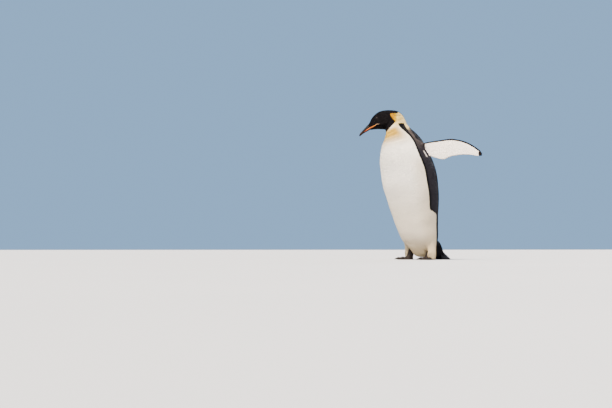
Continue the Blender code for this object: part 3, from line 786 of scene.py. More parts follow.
def feather_material(name, roughness, gloss, unevenness, patch, grain):
    """Plumage: the markings, made a little uneven in patches of a few centimetres, over a fine grain of
    barbs in the relief."""
    made, tree, shader = new_material(name, {"Roughness": roughness, "Specular IOR Level": gloss})
    place = {"Vector": node(tree, "ShaderNodeTexCoord").outputs["Object"]}
    broad = node(tree, "ShaderNodeTexNoise", {**place, "Scale": 1 / patch, "Detail": 4.0, "Roughness": 0.6})
    shaded(tree, shader, broad, (1 - unevenness, 1.0), (0.25, 0.75))
    barbs = node(tree, "ShaderNodeTexNoise", {**place, "Scale": 1 / grain, "Detail": 2.0})
    raised(tree, shader, barbs, 0.25, 0.3 * grain)
    return made


# White feathers are the most matt. Dark and black ones are smoother, with a low gloss, and more uneven.
white_feathers = feather_material("white plumage", 0.78, 0.05, 0.06, 0.06, 0.0016)
slate_feathers = feather_material("slate plumage", 0.58, 0.07, 0.22, 0.035, 0.0016)
black_feathers = feather_material("black plumage", 0.55, 0.04, 0.20, 0.03, 0.0010)

# The flipper's own are the shortest, flat and even.
paddle_feathers = feather_material("flipper plumage", 0.62, 0.07, 0.07, 0.035, 0.0016)

# Down between the feathers, and the skin under it: matt, and only seen in the chinks.
down = feather_material("down", 0.9, 0.05, 0.10, 0.02, 0.0016)


def put(piece, finish, slot, *nodes):
    """Gives a piece its finish. It stands still, and for the nodes, if there are any. The slot is not used.
    """
    piece.data.materials.append(finish)
    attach(piece, "root")
    if nodes:
        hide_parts(*nodes)


skin_surface = skin_mesh()
skin_places = places_of(skin_surface)
SKIN_SHADE = 0.82  # the skin has the plumage's colours, a little darker
set_colours(skin_surface, SKIN_SHADE * plumage(skin_places))
skin = show("skin", skin_surface)
flesh = ("trunk", "neck", "head", "leg_left", "leg_right", "flipper_left", "flipper_right")
put(skin, down, "cream_feathers", *flesh)

# ---- The bill ----
# A long slender bill, bent down to a small hook. Both halves are dark keratin over bone, grown in long
# fine layers, and the upper one has a groove on each side with the nostril in it. A plate of smooth
# coloured horn lies along each side of the lower half and thins out to the corner of the mouth.

# Ahead, top, gape, bottom, and the half widths of the upper and the lower half.
BILL = [
    (0.058, 0.012, -0.0050, -0.0135, 0.0110, 0.0400),
    (0.076, 0.0195, -0.0050, -0.0155, 0.0112, 0.0292),
    (0.094, 0.0195, -0.0058, -0.0180, 0.0114, 0.0195),
    (0.112, 0.0150, -0.0076, -0.0212, 0.0110, 0.0124),
    (0.130, 0.0078, -0.0102, -0.0232, 0.0099, 0.0094),
    (0.150, -0.0006, -0.0148, -0.0245, 0.0083, 0.0074),
    (0.170, -0.0090, -0.0208, -0.0275, 0.0063, 0.0052),
    (0.185, -0.0160, -0.0262, -0.0312, 0.0047, 0.0034),
    (0.195, -0.0250, -0.0330, -0.0345, 0.0020, 0.0018),  # hooked tip
]
BILL_ROWS = smooth_rows(BILL, 160)
GAPE_GAP = 0.0003
BILL_SQUARENESS = 0.85
HORN_BLACK = linear("#0c0a09")
HORN_TIP = linear("#2c1a10")
# The plate's tones, and its width under the gape, by how far ahead they are along the head.
PLATE_TONES = [
    (0.034, "#1c1614"), (0.042, "#7a6658"), (0.060, "#b8926c"), (0.070, "#b06a1c"), (0.090, "#ac5a0a"),
    (0.128, "#a04606"), (0.144, "#802c12"), (0.156, "#401a12"), (0.165, "#1c120e"),
]
PLATE_WIDTH = [
    (0.034, 0.0003), (0.040, 0.0014), (0.058, 0.0020), (0.066, 0.0036), (0.078, 0.0053), (0.100, 0.0062),
    (0.128, 0.0060), (0.146, 0.0042), (0.158, 0.0020), (0.165, 0.0004),
]


def gape_height(ahead):
    """The mouth line: along the bill, and from its corner down and back over the cheek."""
    return columns_at(BILL_ROWS, ahead)[1] - 0.42 * (0.0575 - ahead).clip(0, None)


def plate_drop(ahead):
    """How far the plate's upper edge lies below the mouth line, which is more towards the cheek."""
    return 0.0016 + 0.0040 * rise(0.125, 0.070, ahead)


def bill_rings(upper, rows, count):
    """D-shaped sections. From gape to crown the height goes as cosine to the power of the squareness, and
    the width as sine to the same power. A groove runs back along each side to the nostril. The upper half
    begins an eighth of the way on, under the feathers, and the lower one ends just short of the hook."""
    row = smooth_rows(BILL, rows)
    row = row[int(rows * 0.12) :] if upper else row[: int(rows * 0.97)]
    ahead, top, gape, bottom, upper_half, lower_half = row.T[:, :, None]
    sine, cosine = np.sin(turned(count)), np.cos(turned(count))
    bulge = np.maximum(cosine, 0) ** BILL_SQUARENESS
    flat = gape + (GAPE_GAP / 2 if upper else -GAPE_GAP / 2)
    crown = top if upper else bottom
    half_width = upper_half if upper else lower_half
    round_by = np.degrees(np.arctan2(np.abs(sine), cosine))
    groove = 0.10 * np.exp(-(((round_by - 58) / 7) ** 2))
    groove = groove * rise(0.098, 0.104, ahead) * rise(0.158, 0.135, ahead)
    nostril = 0.28 * np.exp(-(((round_by - 58) / 6) ** 2) - ((ahead - 0.1145) / 0.0035) ** 2)
    across = half_width * np.sign(sine) * np.abs(sine) ** BILL_SQUARENESS * (1 - (groove + nostril) * upper)
    return head_place(ahead + 0 * across, across, flat + (crown - flat) * bulge)


def plate_rings(sign, rows, count):
    """A thin curved strip. Its height falls from the gape by its width, and it stands a little proud of the
    lower half, or of the cheek where that is wider, with rounded edges and a sunk inner side."""
    ahead = np.linspace(PLATE_WIDTH[0][0], PLATE_WIDTH[-1][0], rows)[:, None]
    share = np.concatenate([np.linspace(0, 1, count // 2), np.linspace(1, 0, count // 2)])
    outer = np.arange(count) < count // 2
    _, _, bottom, _, lower_half = columns_at(BILL_ROWS, ahead)
    mouth = gape_height(ahead)
    up = mouth - plate_drop(ahead) - at_rows(PLATE_WIDTH, ahead) * share
    depth = ((mouth - up) / (mouth - bottom).clip(0.001, None)).clip(0, 0.98)
    on_bill = lower_half * (1 - depth ** (2 / BILL_SQUARENESS)) ** (BILL_SQUARENESS / 2)
    across = np.maximum(on_bill * (ahead > 0.058), cheek_half_width(ahead, up) + 0.0004)
    proud = 0.0009 * np.sqrt((4 * share * (1 - share)).clip(0, 1)) * rise(0.034, 0.062, ahead) + 0.0003
    return head_place(ahead + 0 * up, sign * (across + np.where(outer, proud, -0.0012)), up)


HEAD_ROWS = smooth_rows(HEAD, 120)


def cheek_half_width(ahead, up):
    """Half the head's width at a height on it."""
    top, bottom, half_width = columns_at(HEAD_ROWS, ahead)
    off = ((up - (top + bottom) / 2) / ((top - bottom) / 2)).clip(-1, 1)
    return half_width * np.sqrt(1 - off**2) * (ahead < 0.112)


def along_horn(mesh):
    """Writes each vertex's place along the head, drawn out ten times, for the grain to follow."""
    places = np.stack(along_head(places_of(mesh)), axis=1) * (0.1, 1, 1)
    grain = mesh.attributes.new("grain", "FLOAT_VECTOR", "POINT")
    grain.data.foreach_set("vector", places.astype(np.float32).ravel())


def horn_material(name, shine, grain, depth, unevenness):
    """Keratin: the piece's own tones, with fine layers along its growth in the colour and the relief."""
    made, tree, shader = new_material(name, shine)
    lengthwise = node(tree, "ShaderNodeAttribute", attribute_name="grain").outputs["Vector"]
    layers = node(tree, "ShaderNodeTexNoise", {"Vector": lengthwise, "Scale": 1 / grain, "Detail": 4.0})
    shaded(tree, shader, layers, (1 - unevenness, 1.0), (0.3, 0.7))
    raised(tree, shader, layers, 0.5, depth)
    return made


# Horn of the bill is hard and half matt. The plate is smoother and wetter looking.
bill_horn = horn_material(
    "bill keratin", {"Roughness": 0.50, "IOR": 1.5, "Specular IOR Level": 0.07}, 0.0012, 0.00012, 0.35
)
plate_horn = horn_material(
    "bill plate keratin", {"Roughness": 0.38, "IOR": 1.5, "Specular IOR Level": 0.25}, 0.0018, 0.00006, 0.14
)


def horn_piece(name, mesh, tones, finish, slot, *nodes):
    set_colours(mesh, tones)
    along_horn(mesh)
    put(show(name, mesh), finish, slot, *nodes)


for half in ("upper", "lower"):
    mesh = shells(f"bill_{half}_horn", bill_rings(half == "upper", 110, 56))
    ahead, _, _ = along_head(places_of(mesh))
    brown = rise(0.148, 0.180, ahead) * rise(0.197, 0.187, ahead)
    tones = blend(HORN_BLACK, HORN_TIP, 0.6 * brown)
    horn_piece(f"bill_{half}_horn", mesh, tones, bill_horn, "bill_horn", f"bill_{half}")

for side, sign in SIDES.items():
    mesh = shells(f"bill_plate_{side}", plate_rings(sign, 120, 28))
    ahead, _, _ = along_head(places_of(mesh))
    known = np.array([linear(tone) for _, tone in PLATE_TONES])
    marks = [place for place, _ in PLATE_TONES]
    tones = np.stack([np.interp(ahead, marks, known[:, k]) for k in range(3)], axis=1)
    horn_piece(f"bill_plate_{side}", mesh, tones, plate_horn, "bill_plate")

# ---- The eyes ----
# A dark brown iris round a wide black pupil, under a clear bulging cornea. Bare lids, thick and black,
# close round the eyeball to an oval opening, and the feathers of the face begin at their rim.

EYE_AXIS = np.array([0.20, 0.93, 0.30])  # ahead, out and up along the head
EYE_AXIS = EYE_AXIS / np.linalg.norm(EYE_AXIS)
PUPIL = 27  # degrees off the eye's axis
IRIS = 42
CORNEA_BULGE = 0.0006
CORNEA_SPREAD = 26
LID_OPENING = (47, 37)  # degrees off the axis, along the head and up
LID_END = 104
LID_OFF_BALL = 0.00045  # middle of the lid's thickness
LID_HALF_THICKNESS = 0.00032
LID_RIM = 0.00016  # how much thicker it is at the opening
EYE_RIM = linear("#191210")  # of the ball round the iris
IRIS_BROWN = linear("#1c0d07")
PUPIL_BLACK = linear("#020202")
LID_BLACK = linear("#09080a")


def eye_place(sign, off_axis, round_by, radius):
    """Places round an eye: degrees off its axis, radians round it from ahead, metres from its middle."""
    ahead_way = np.cross([0, 0, 1], EYE_AXIS)
    ahead_way = -ahead_way / np.linalg.norm(ahead_way)
    up_way = np.cross(ahead_way, EYE_AXIS)
    up_way = up_way * np.sign(up_way[2])
    off = np.radians(off_axis)
    away = np.cos(off)[..., None] * EYE_AXIS + np.sin(off)[..., None] * (
        np.cos(round_by)[..., None] * ahead_way + np.sin(round_by)[..., None] * up_way
    )
    place = np.array(EYE_AT) + radius[..., None] * away
    return head_place(place[..., 0], sign * place[..., 1], place[..., 2])


def eye_rings(sign, rows, count):
    """A ball that bulges over the cornea, as a bell curve of the angle off its axis."""
    off_axis = np.linspace(1, 178, rows)[:, None] + 0 * turned(count)
    radius = EYE_RADIUS + CORNEA_BULGE * np.exp(-((off_axis / CORNEA_SPREAD) ** 2))
    return eye_place(sign, off_axis, turned(count) + 0 * off_axis, radius)


def lid_rings(sign, rows, count):
    """A looped tube of rounded sections. Each runs out from the oval opening to past the eye's side, from
    just over the ball to a millimetre off it, with a thicker rim at the opening."""
    round_by = (np.arange(rows) * 2 * np.pi / rows)[:, None]
    long, tall = LID_OPENING
    opening = 1 / np.sqrt((np.cos(round_by) / long) ** 2 + (np.sin(round_by) / tall) ** 2)
    share = (1 - np.cos(turned(count))) / 2
    reach = opening + (LID_END - opening) * share
    thick = LID_HALF_THICKNESS + LID_RIM * np.exp(-(((share - 0.10) / 0.12) ** 2))
    radius = EYE_RADIUS + LID_OFF_BALL + thick * np.sin(turned(count))
    return eye_place(sign, reach, round_by + 0 * reach, radius)


def eyeball_material():
    """A wet cornea: the tones of iris and pupil, finely flecked, under a clear hard gloss."""
    made, tree, shader = new_material("eye", {"Roughness": 0.10, "IOR": 1.38, "Specular IOR Level": 0.22})
    place = node(tree, "ShaderNodeTexCoord").outputs["Object"]
    fleck = node(tree, "ShaderNodeTexNoise", {"Vector": place, "Scale": 1800.0, "Detail": 3.0})
    shaded(tree, shader, fleck, (0.6, 1.4))
    return made


eyeball = eyeball_material()
# Bare black skin, creased in cells under a millimetre across.
lid_skin = feather_material("bare lid skin", 0.65, 0.15, 0.3, 0.004, 0.0007)

for side, sign in SIDES.items():
    mesh = shells(f"eyeball_{side}", eye_rings(sign, 60, 48))
    centre = head_place(EYE_AT[0], sign * EYE_AT[1], EYE_AT[2])
    toward = head_place(*(np.array(EYE_AT) + EYE_AXIS) * (1, sign, 1)) - centre
    off = places_of(mesh) - centre
    off_axis = np.degrees(np.arccos((off @ toward / np.linalg.norm(off, axis=1)).clip(-1, 1)))
    tones = blend(EYE_RIM, IRIS_BROWN, rise(IRIS + 2, IRIS - 2, off_axis))
    tones = blend(tones, PUPIL_BLACK, rise(PUPIL + 2, PUPIL - 2, off_axis))
    set_colours(mesh, tones)
    put(show(f"eyeball_{side}", mesh), eyeball, "eye", f"eye_{side}")

    mesh = shells(f"eyelid_{side}", lid_rings(sign, 72, 20), looped=True)
    set_colours(mesh, LID_BLACK)
    put(show(f"eyelid_{side}", mesh), lid_skin, "black_feathers")

# ---- The coat ----
# Small stiff feathers cover the bird all over, each one rooted in the skin and lying on the next along
# the body. Each is a thin closed vane with a rounded tip and a low ridge along its shaft.


def along_surface(way, away):
    """A way turned into the surface that faces away, one unit long."""
    way = way - np.einsum("ij,ij->i", way, away)[:, None] * away
    return way / np.linalg.norm(way, axis=1, keepdims=True).clip(1e-6)


def flow(places, away):
    """Which way the feathers lie: down the spine, back over the head, down the legs, back along the tail
    and out along the flippers, always along the skin."""
    spine, flipper = along_spine(places), along_flipper(places)
    ahead, _, up = along_head(places)
    backwards = head_place(-1.0, 0.0, 0.0) - head_place(0.0, 0.0, 0.0)
    on_head = (rise(-0.115, -0.050, ahead) * rise(-0.105, -0.060, up))[:, None]
    way = spine.down * (1 - on_head) + (backwards + 0.15 * spine.down) * on_head
    low = (rise(0.12, 0.06, places[:, 2]) * rise(0.06, 0.08, np.abs(places[:, 0])))[:, None]
    way = way * (1 - low) + np.array([0, 0, -1]) * low
    tail = (rise(0.075, 0.110, places[:, 1] - ORIGIN_FORWARD) * rise(0.16, 0.09, places[:, 2]))[:, None]
    way = way * (1 - tail) + np.array([0, 0.92, -0.40]) * tail
    outwards = np.array([np.cos(FLIPPER_SWEEP), np.sin(FLIPPER_SWEEP), -0.3]) + 0 * places
    outwards[:, 0] *= np.sign(places[:, 0])
    off_trunk = ((spine.reach - 1) * spine.girth).clip(0, None)
    paddle = (rise(0.0, 0.030, off_trunk) * (flipper.clear < 0.012) * (flipper.out > -0.01))[:, None]
    return along_surface(way * (1 - paddle) + outwards * paddle, away)


def roots_tree(spacing):
    """Geometry nodes that strew points over a mesh, none nearer than the spacing to the next, and keep the
    share of them that the mesh's attribute says."""
    tree = bpy.data.node_groups.new("roots", "GeometryNodeTree")
    for way in ("INPUT", "OUTPUT"):
        tree.interface.new_socket("Geometry", in_out=way, socket_type="NodeSocketGeometry")
    given = node(tree, "NodeGroupInput").outputs["Geometry"]
    share = node(tree, "GeometryNodeInputNamedAttribute", {"Name": "share"}, data_type="FLOAT")
    strewn = node(
        tree,
        "GeometryNodeDistributePointsOnFaces",
        {
            "Mesh": given,
            "Distance Min": spacing,
            "Density Max": 2.4 / spacing**2,
            "Density Factor": share.outputs["Attribute"],
        },
        distribute_method="POISSON",
    )
    marked = node(
        tree,
        "GeometryNodeStoreNamedAttribute",
        {"Geometry": strewn.outputs["Points"], "Name": "away", "Value": strewn.outputs["Normal"]},
        data_type="FLOAT_VECTOR",
        domain="POINT",
    )
    kept = node(tree, "GeometryNodePointsToVertices", {"Points": marked.outputs["Geometry"]})
    node(tree, "NodeGroupOutput", {"Geometry": kept.outputs["Mesh"]})
    return tree


def roots(surface, share, spacing):
    """Places on a surface where feathers grow, and the way out of it at each."""
    bed = show("bed", surface.copy())
    bed.data.attributes.new("share", "FLOAT", "POINT").data.foreach_set("value", share.astype(np.float32))
    bed.modifiers.new("roots", "NODES").node_group = roots_tree(spacing)
    mesh = settled(bed)
    places, away = read(mesh.vertices, "co", 3), read(mesh.attributes["away"].data, "vector", 3)
    bpy.data.meshes.remove(mesh)
    return places.astype(float), away.astype(float)


# A vane's outline from its root round to its tip and back, and the ridge over its middle: along its length,
# across its half width, and how high between the root and the tip's lift.
VANE = np.array(
    [
        (0.00, 0.00, -0.25),
        (0.45, 0.95, 0.42),
        (0.86, 0.52, 0.88),
        (1.00, 0.00, 1.00),
        (0.86, -0.52, 0.88),
        (0.45, -0.95, 0.42),
        (0.60, 0.00, 0.70),
    ]
)
VANE_TOP = [(0, 6, 5), (5, 6, 4), (4, 6, 3), (3, 6, 2), (2, 6, 1), (1, 6, 0)]
VANE_UNDER = [(0, 5, 1), (1, 5, 4), (1, 4, 2), (2, 4, 3)]
SEEN_AT = 0.75  # the share of a vane's length where the next ones leave it bare
PATCH = 0.003  # size of a vane on its baking map
FLOOR_CLEARANCE = 0.0007
VANE_CLEARANCE = 0.0004  # over the surface that the vanes grow from


def coat(
    name, bed, places, away, size, tone, shades, unevenness, where, seed, stray=6.0, ridge=0.035, lie=flow
):
    """A coat piece of many vanes that grow from an object, the bed. Size is each one's length, width and
    lift. Tone gives the colour at a place, and shades how light a vane's root, edge, tip and shaft are.
    Where says each root's place on an unwrap of the bed's shape, stray how many degrees the vanes turn from
    their lie, and ridge how high the shaft stands, as a share of the vane's width."""
    chance = np.random.default_rng(seed)
    count = len(places)
    onward = lie(places, away)
    turn = np.radians(stray) * chance.normal(size=(count, 1))
    beside = np.cross(away, onward)
    onward, beside = (
        onward * np.cos(turn) + beside * np.sin(turn),
        beside * np.cos(turn) - onward * np.sin(turn),
    )
    length, width, lift = (
        np.broadcast_to(part, count)[:, None] * chance.uniform(1 - spread, 1 + spread, (count, 1))
        for part, spread in zip(size, (0.18, 0.12, 0.25))
    )
    along, across, high = VANE.T
    up = high * lift + ridge * width * (np.arange(len(VANE)) == len(VANE) - 1)
    vertices = (
        places[:, None]
        + (along * length)[..., None] * onward[:, None]
        + (across * width / 2)[..., None] * beside[:, None]
        + up[..., None] * away[:, None]
    ).reshape(-1, 3)
    vertices[:, 2] = vertices[:, 2].clip(FLOOR_CLEARANCE, None)
    face = np.array(VANE_TOP + VANE_UNDER)
    faces = (face[None] + len(VANE) * np.arange(count)[:, None, None]).reshape(-1, 3)
    mesh = triangle_mesh(name, vertices, faces)
    smooth = np.tile(np.arange(len(face)) < len(VANE_TOP), count)
    mesh.polygons.foreach_set("use_smooth", smooth)
    colour = tone(places + SEEN_AT * length * onward)
    root_shade, edge_shade, tip_shade, shaft_shade = shades
    pattern = np.array([root_shade, edge_shade, tip_shade, tip_shade, tip_shade, edge_shade, shaft_shade])
    light = pattern * (1 + unevenness * chance.normal(size=(count, 1))).clip(0.5, 1.6)
    set_colours(mesh, (colour[:, None] * light[..., None]).reshape(-1, 3).clip(0, 0.95))
    spot = np.stack([across / 2, along - 0.5], axis=1) * PATCH
    spots = (where[:, None] + spot).reshape(-1, 2)
    baked = mesh.uv_layers.new(name="OFBake")
    baked.uv.foreach_set("vector", spots[faces.ravel()].astype(np.float32).ravel())
    return laid_over(show(name, mesh), bed)


def laid_over(piece, bed):
    """The piece, with what dips under its bed lifted back over it, but for the roots."""
    above = np.flatnonzero(np.arange(len(piece.data.vertices)) % len(VANE))
    piece.vertex_groups.new(name="above").add(above.tolist(), 1.0, "REPLACE")
    wrap = piece.modifiers.new("laid over", "SHRINKWRAP")
    wrap.target = bed
    wrap.wrap_method = "NEAREST_SURFACEPOINT"
    wrap.wrap_mode = "OUTSIDE"
    wrap.offset = VANE_CLEARANCE
    wrap.vertex_group = "above"
    name = piece.name
    mesh = settled(piece)
    mesh.name = name
    return show(name, mesh)


def fitted(where):
    """Map places moved and scaled to fill the map but for a narrow edge."""
    low, high = where.min(axis=0), where.max(axis=0)
    return 0.01 + 0.98 * (where - low) / (high - low)


def body_unwrap(places):
    """One side of the skin spread out: the angle round the spine, or round the head's own axis, across the
    map, and the height on the spine, going on along the head, up the map."""
    spine = along_spine(places)
    ahead, out, up = along_head(places)
    on_head = rise(-0.08, -0.05, ahead) * rise(-0.09, -0.06, up)
    round_spine, round_head = np.abs(spine.angle), np.degrees(np.arctan2(np.abs(out), -up))
    across = round_spine + (round_head - round_spine) * on_head
    along = spine.height + (NECK_TOP + ahead + 0.05 - spine.height) * on_head
    return fitted(np.stack([across, along], axis=1))


def flipper_unwrap(places):
    """The flipper slit along its trailing edge and spread out: each face's chord across, and out up."""
    flipper = along_flipper(places)
    face = np.where(flipper.back > 0, 1, -1)
    return fitted(np.stack([face * (0.02 + flipper.chord.clip(0, 1)), flipper.out], axis=1))


BREAST_FOOT = 0.43  # over the floor
NECK_FOOT = 0.80  # height on the spine
FACE_BACK = 0.035  # ahead along the head
LID_AHEAD = 0.0012  # of the eye's middle
LID_CLEARANCE = 0.0094  # of the face's feathers from the middle of the lid

skin_spine, skin_flipper = along_spine(skin_places), along_flipper(skin_places)
skin_ahead, skin_out, skin_up = along_head(skin_places)
paddles = on_flipper(skin_spine, skin_flipper)
hooded = hood_share(skin_spine, skin_ahead, skin_up) > 0.5
past_edge = round_past(skin_spine, at_rows(BACK_EDGE, skin_spine.height))
dark_back = (past_edge > 0) & (skin_places[:, 2] < BORDER_TOP) & ~hooded & ~paddles
pale = ~dark_back & ~hooded & ~paddles
upper = skin_places[:, 2] > BREAST_FOOT
neck = skin_spine.height > NECK_FOOT
to_left = np.where(hooded, skin_out, skin_spine.angle)
lids = [head_place(EYE_AT[0] + LID_AHEAD, sign * EYE_AT[1], EYE_AT[2]) for sign in SIDES.values()]
from_lid = np.min([np.linalg.norm(skin_places - lid, axis=1) for lid in lids], axis=0)
below_gape = gape_height(skin_ahead) - plate_drop(skin_ahead) - skin_up
on_plate = (below_gape > -0.0010) & (below_gape < at_rows(PLATE_WIDTH, skin_ahead) + 0.0004)
on_plate = on_plate & (skin_ahead > 0.036)
bare = (from_lid < LID_CLEARANCE) | on_plate

# The white feathers' darker roots are painted shade, where the feathers over them overlap.
WHITE_SHADES = (0.92, 0.985, 1.0, 1.0)
SLATE_SHADES = (0.60, 1.10, 1.25, 0.80)
BLACK_SHADES = (0.6, 1.1, 1.2, 0.85)
PADDLE_SHADES = (0.93, 1.0, 1.03, 0.97)
# Each kind of feather: where it grows, the spacing of its roots, its length, width and lift, its material
# and slot, how its colour varies from one to the next, and the shades of its root, edge, tip and shaft.
Feathers = namedtuple("Feathers", "share spacing size material slot unevenness shades")
KINDS = {
    "breast": Feathers(
        pale & upper & ~neck,
        0.0022, (0.0128, 0.0038, 0.0011), white_feathers, "cream_feathers", 0.012, WHITE_SHADES,
    ),
    "belly": Feathers(
        pale & ~upper,
        0.0023, (0.0134, 0.0040, 0.0012), white_feathers, "cream_feathers", 0.014, WHITE_SHADES,
    ),
    "neck": Feathers(
        pale & neck,
        0.0019, (0.0094, 0.0031, 0.0010), white_feathers, "cream_feathers", 0.018, WHITE_SHADES,
    ),
    "back": Feathers(
        dark_back,
        0.0024, (0.0128, 0.0042, 0.0012), slate_feathers, "slate_feathers", 0.08, SLATE_SHADES,
    ),
    "hood": Feathers(
        hooded & (skin_ahead < FACE_BACK),
        0.0016, (0.0068, 0.0027, 0.0011), black_feathers, "black_feathers", 0.12, BLACK_SHADES,
    ),
    "face": Feathers(
        hooded & (skin_ahead >= FACE_BACK) & ~bare,
        0.00115, (0.0040, 0.0017, 0.0007), black_feathers, "black_feathers", 0.12, BLACK_SHADES,
    ),
    "flipper": Feathers(
        paddles,
        0.0019, (0.0072, 0.0030, 0.0006), paddle_feathers, "slate_feathers", 0.025, PADDLE_SHADES,
    ),
}


def graded(places, part, size):
    """A kind's sizes at places. The hood's feathers shrink to the face, and the face's to the bill."""
    ahead, _, _ = along_head(places)
    hood_scale = 1 - 0.28 * rise(0.0, FACE_BACK, ahead)
    face_scale = 1 + 0.30 * rise(0.065, FACE_BACK, ahead)
    scale = {"hood": hood_scale, "face": face_scale}.get(part, 1)
    return [scale * measure for measure in size]


for index, (part, kind) in enumerate(KINDS.items()):
    for side, sign in SIDES.items():
        name = f"coat_{part}_{side}"
        places, away = roots(skin_surface, kind.share & (sign * to_left >= 0), kind.spacing)
        where = flipper_unwrap(places) if part == "flipper" else body_unwrap(places)
        size = graded(places, part, kind.size)
        seed = 10 + 2 * index + (sign < 0)
        piece = coat(name, skin, places, away, size, plumage, kind.shades, kind.unevenness, where, seed)
        put(piece, kind.material, kind.slot)

# ---- The feet ----
# Short strong feet of black leathery skin, webbed between three front toes, with rows of small hard
# scales over the top. The soles lie flat on the floor.

Toe = namedtuple("Toe", "name splay length half_width height")
TOES = [
    Toe("inner", -26, 0.085, 0.0125, 0.020),
    Toe("middle", 0, 0.101, 0.0135, 0.022),
    Toe("outer", 27, 0.087, 0.0125, 0.020),
]
HEEL_BACK = 0.006  # behind the middle of the leg
HEEL_OUT = 0.088
FOOT_TURN = np.radians(9)  # outwards
# Height, ahead, out, half width and half depth of the ankle.
TARSUS = [
    (-0.006, 0.026, 0.080, 0.0235, 0.0315),
    (0.018, 0.020, 0.077, 0.0215, 0.0255),
    (0.040, 0.012, 0.073, 0.0195, 0.0215),
    (0.090, 0.004, 0.070, 0.0195, 0.0205),
]
WEB_HEIGHT = 0.0080
FOOT_VOXEL = 0.0016
FOOT_EASING = 3
SOLE_HEIGHT = 0.0005
LEATHER_BROWN = linear("#130d0b")
SCALE_BROWN = linear("#211814")
SCALE_SPACING = 0.0020
SCALE_SIZE = (0.0035, 0.0032, 0.0004)  # length, width and lift
SCALE_SHADES = (0.7, 0.95, 1.1, 1.15)
SCALE_SUNK = 0.0002
SCALE_STRAY = 10.0
SCALE_RIDGE = 0.09


def foot_place(side, ahead, out, up, splay=0.0):
    """Places on a foot, ahead and out from its heel, with its toes turned out by the splay, in degrees."""
    turn = FOOT_TURN + np.radians(splay)
    forward = LEG_FORWARD[side] - HEEL_BACK + ahead * np.cos(turn) - out * np.sin(turn)
    across = HEEL_OUT + ahead * np.sin(turn) + out * np.cos(turn)
    return bird_place(forward, SIDES[side] * across, up)


def toe_rings(side, toe, rows, count):
    """Ovals from the heel to the claw's root. The width swells by a tenth at three knuckles, as a cosine,
    and narrows with the cube of the way along. Fine creases cross the top between the knuckles."""
    share = np.linspace(0, 1, rows)[:, None]
    knuckle = 1 + 0.09 * np.cos(share * 6 * np.pi)
    crease = 1 - 0.035 * np.cos(share * 44 * np.pi) * rise(0.15, 0.35, share)
    wide = toe.half_width * knuckle * (1 - 0.35 * share**3)
    tall = toe.height * knuckle * (1.10 - 0.32 * share) * crease
    out, up = wide * np.sin(turned(count)), tall * (0.3 + 0.7 * np.cos(turned(count)))
    return foot_place(side, toe.length * share + 0 * out, out, up, toe.splay)


def web_rings(side):
    """The skin between the toes, whose front edge is hollowed between one toe and the next. Three level
    outlines through the same points, smoothed."""
    inner, middle, outer = TOES
    edge = smooth_rows(
        [
            (0.000, inner.splay),
            (inner.length * 0.45, inner.splay),
            (inner.length * 0.82, inner.splay),
            (middle.length * 0.64, inner.splay / 2),
            (middle.length * 0.84, 0),
            (middle.length * 0.64, outer.splay / 2),
            (outer.length * 0.82, outer.splay),
            (outer.length * 0.45, outer.splay),
            (0.000, outer.splay),
        ],
        41,
    )
    ahead, splay = edge.T
    levels = (-WEB_HEIGHT / 2, 0.6 * WEB_HEIGHT, WEB_HEIGHT)
    return np.stack([foot_place(side, ahead, 0, up, splay) for up in levels])


def tarsus_rings(side, rows, count):
    height, ahead, out, half_width, half_depth = smooth_rows(TARSUS, rows).T[:, :, None]
    across, onward = oval(half_width, half_depth, count)
    return bird_place(LEG_FORWARD[side] + ahead + onward, SIDES[side] * (out + across), height)


def foot_mesh(side):
    """Toes, web and ankle melted together and eased, with a flat sole."""
    forms = [shells("toe_form", toe_rings(side, toe, 90, 40)) for toe in TOES]
    forms += [shells("web_form", web_rings(side)), shells("tarsus_form", tarsus_rings(side, 40, 48))]
    mesh = melted("foot_form", forms, FOOT_VOXEL, FOOT_EASING)
    places = read(mesh.vertices, "co", 3)
    places[:, 2] = places[:, 2].clip(SOLE_HEIGHT, None)
    write_places(mesh, places)
    mesh.shade_smooth()
    return mesh


def leather(places):
    """Foot skin: dark brown black, greyer on the knuckles."""
    return SCALE_BROWN * (0.9 + 0.25 * rise(0.008, 0.022, places[:, 2]))[:, None]


def foot_flow(_, away):
    """The scales lie forward and down over the foot."""
    return along_surface(np.array([0, -0.8, -0.6]) - 0 * away, away)


# Thick, waxy, finely pebbled skin, and scales of the same stuff worn smoother on top.
foot_leather = feather_material("foot skin", 0.58, 0.22, 0.35, 0.012, 0.0011)

# The claws are harder, half glossy horn.
claw_keratin = horn_material(
    "claw keratin", {"Roughness": 0.46, "IOR": 1.54, "Specular IOR Level": 0.15}, 0.0010, 0.00012, 0.30
)
CLAW_LENGTH = 0.030
CLAW_RADIUS = 0.0057
CLAW_ROOT_HEIGHT = 0.0082
CLAW_DROP = 0.0052  # from its root to its tip
CLAW_SET = 0.1 * CLAW_LENGTH  # of its root back from the toe's end
CLAW_SUNK = 0.20  # share of its length that lies inside the toe
CLAW_BLACK = linear("#0e0b0a")
CLAW_TIP = linear("#33281f")


def claw_rings(side, toe, rows, count):
    """Ovals that taper with the power 1.6 of the way out and drop with its square, under a ridge."""
    share = np.linspace(-CLAW_SUNK, 1, rows)[:, None]
    out_of_toe = share.clip(0, None)
    radius = CLAW_RADIUS * (1 - 0.88 * out_of_toe**1.6)
    middle = CLAW_ROOT_HEIGHT + 0.2 * radius - CLAW_DROP * out_of_toe**2
    ridge = 1.15 + 0.18 * np.maximum(np.cos(turned(count)), 0) ** 4
    up = middle + ridge * radius * np.cos(turned(count))
    ahead = toe.length - CLAW_SET + CLAW_LENGTH * share
    return foot_place(side, ahead + 0 * up, radius * np.sin(turned(count)), up, toe.splay)


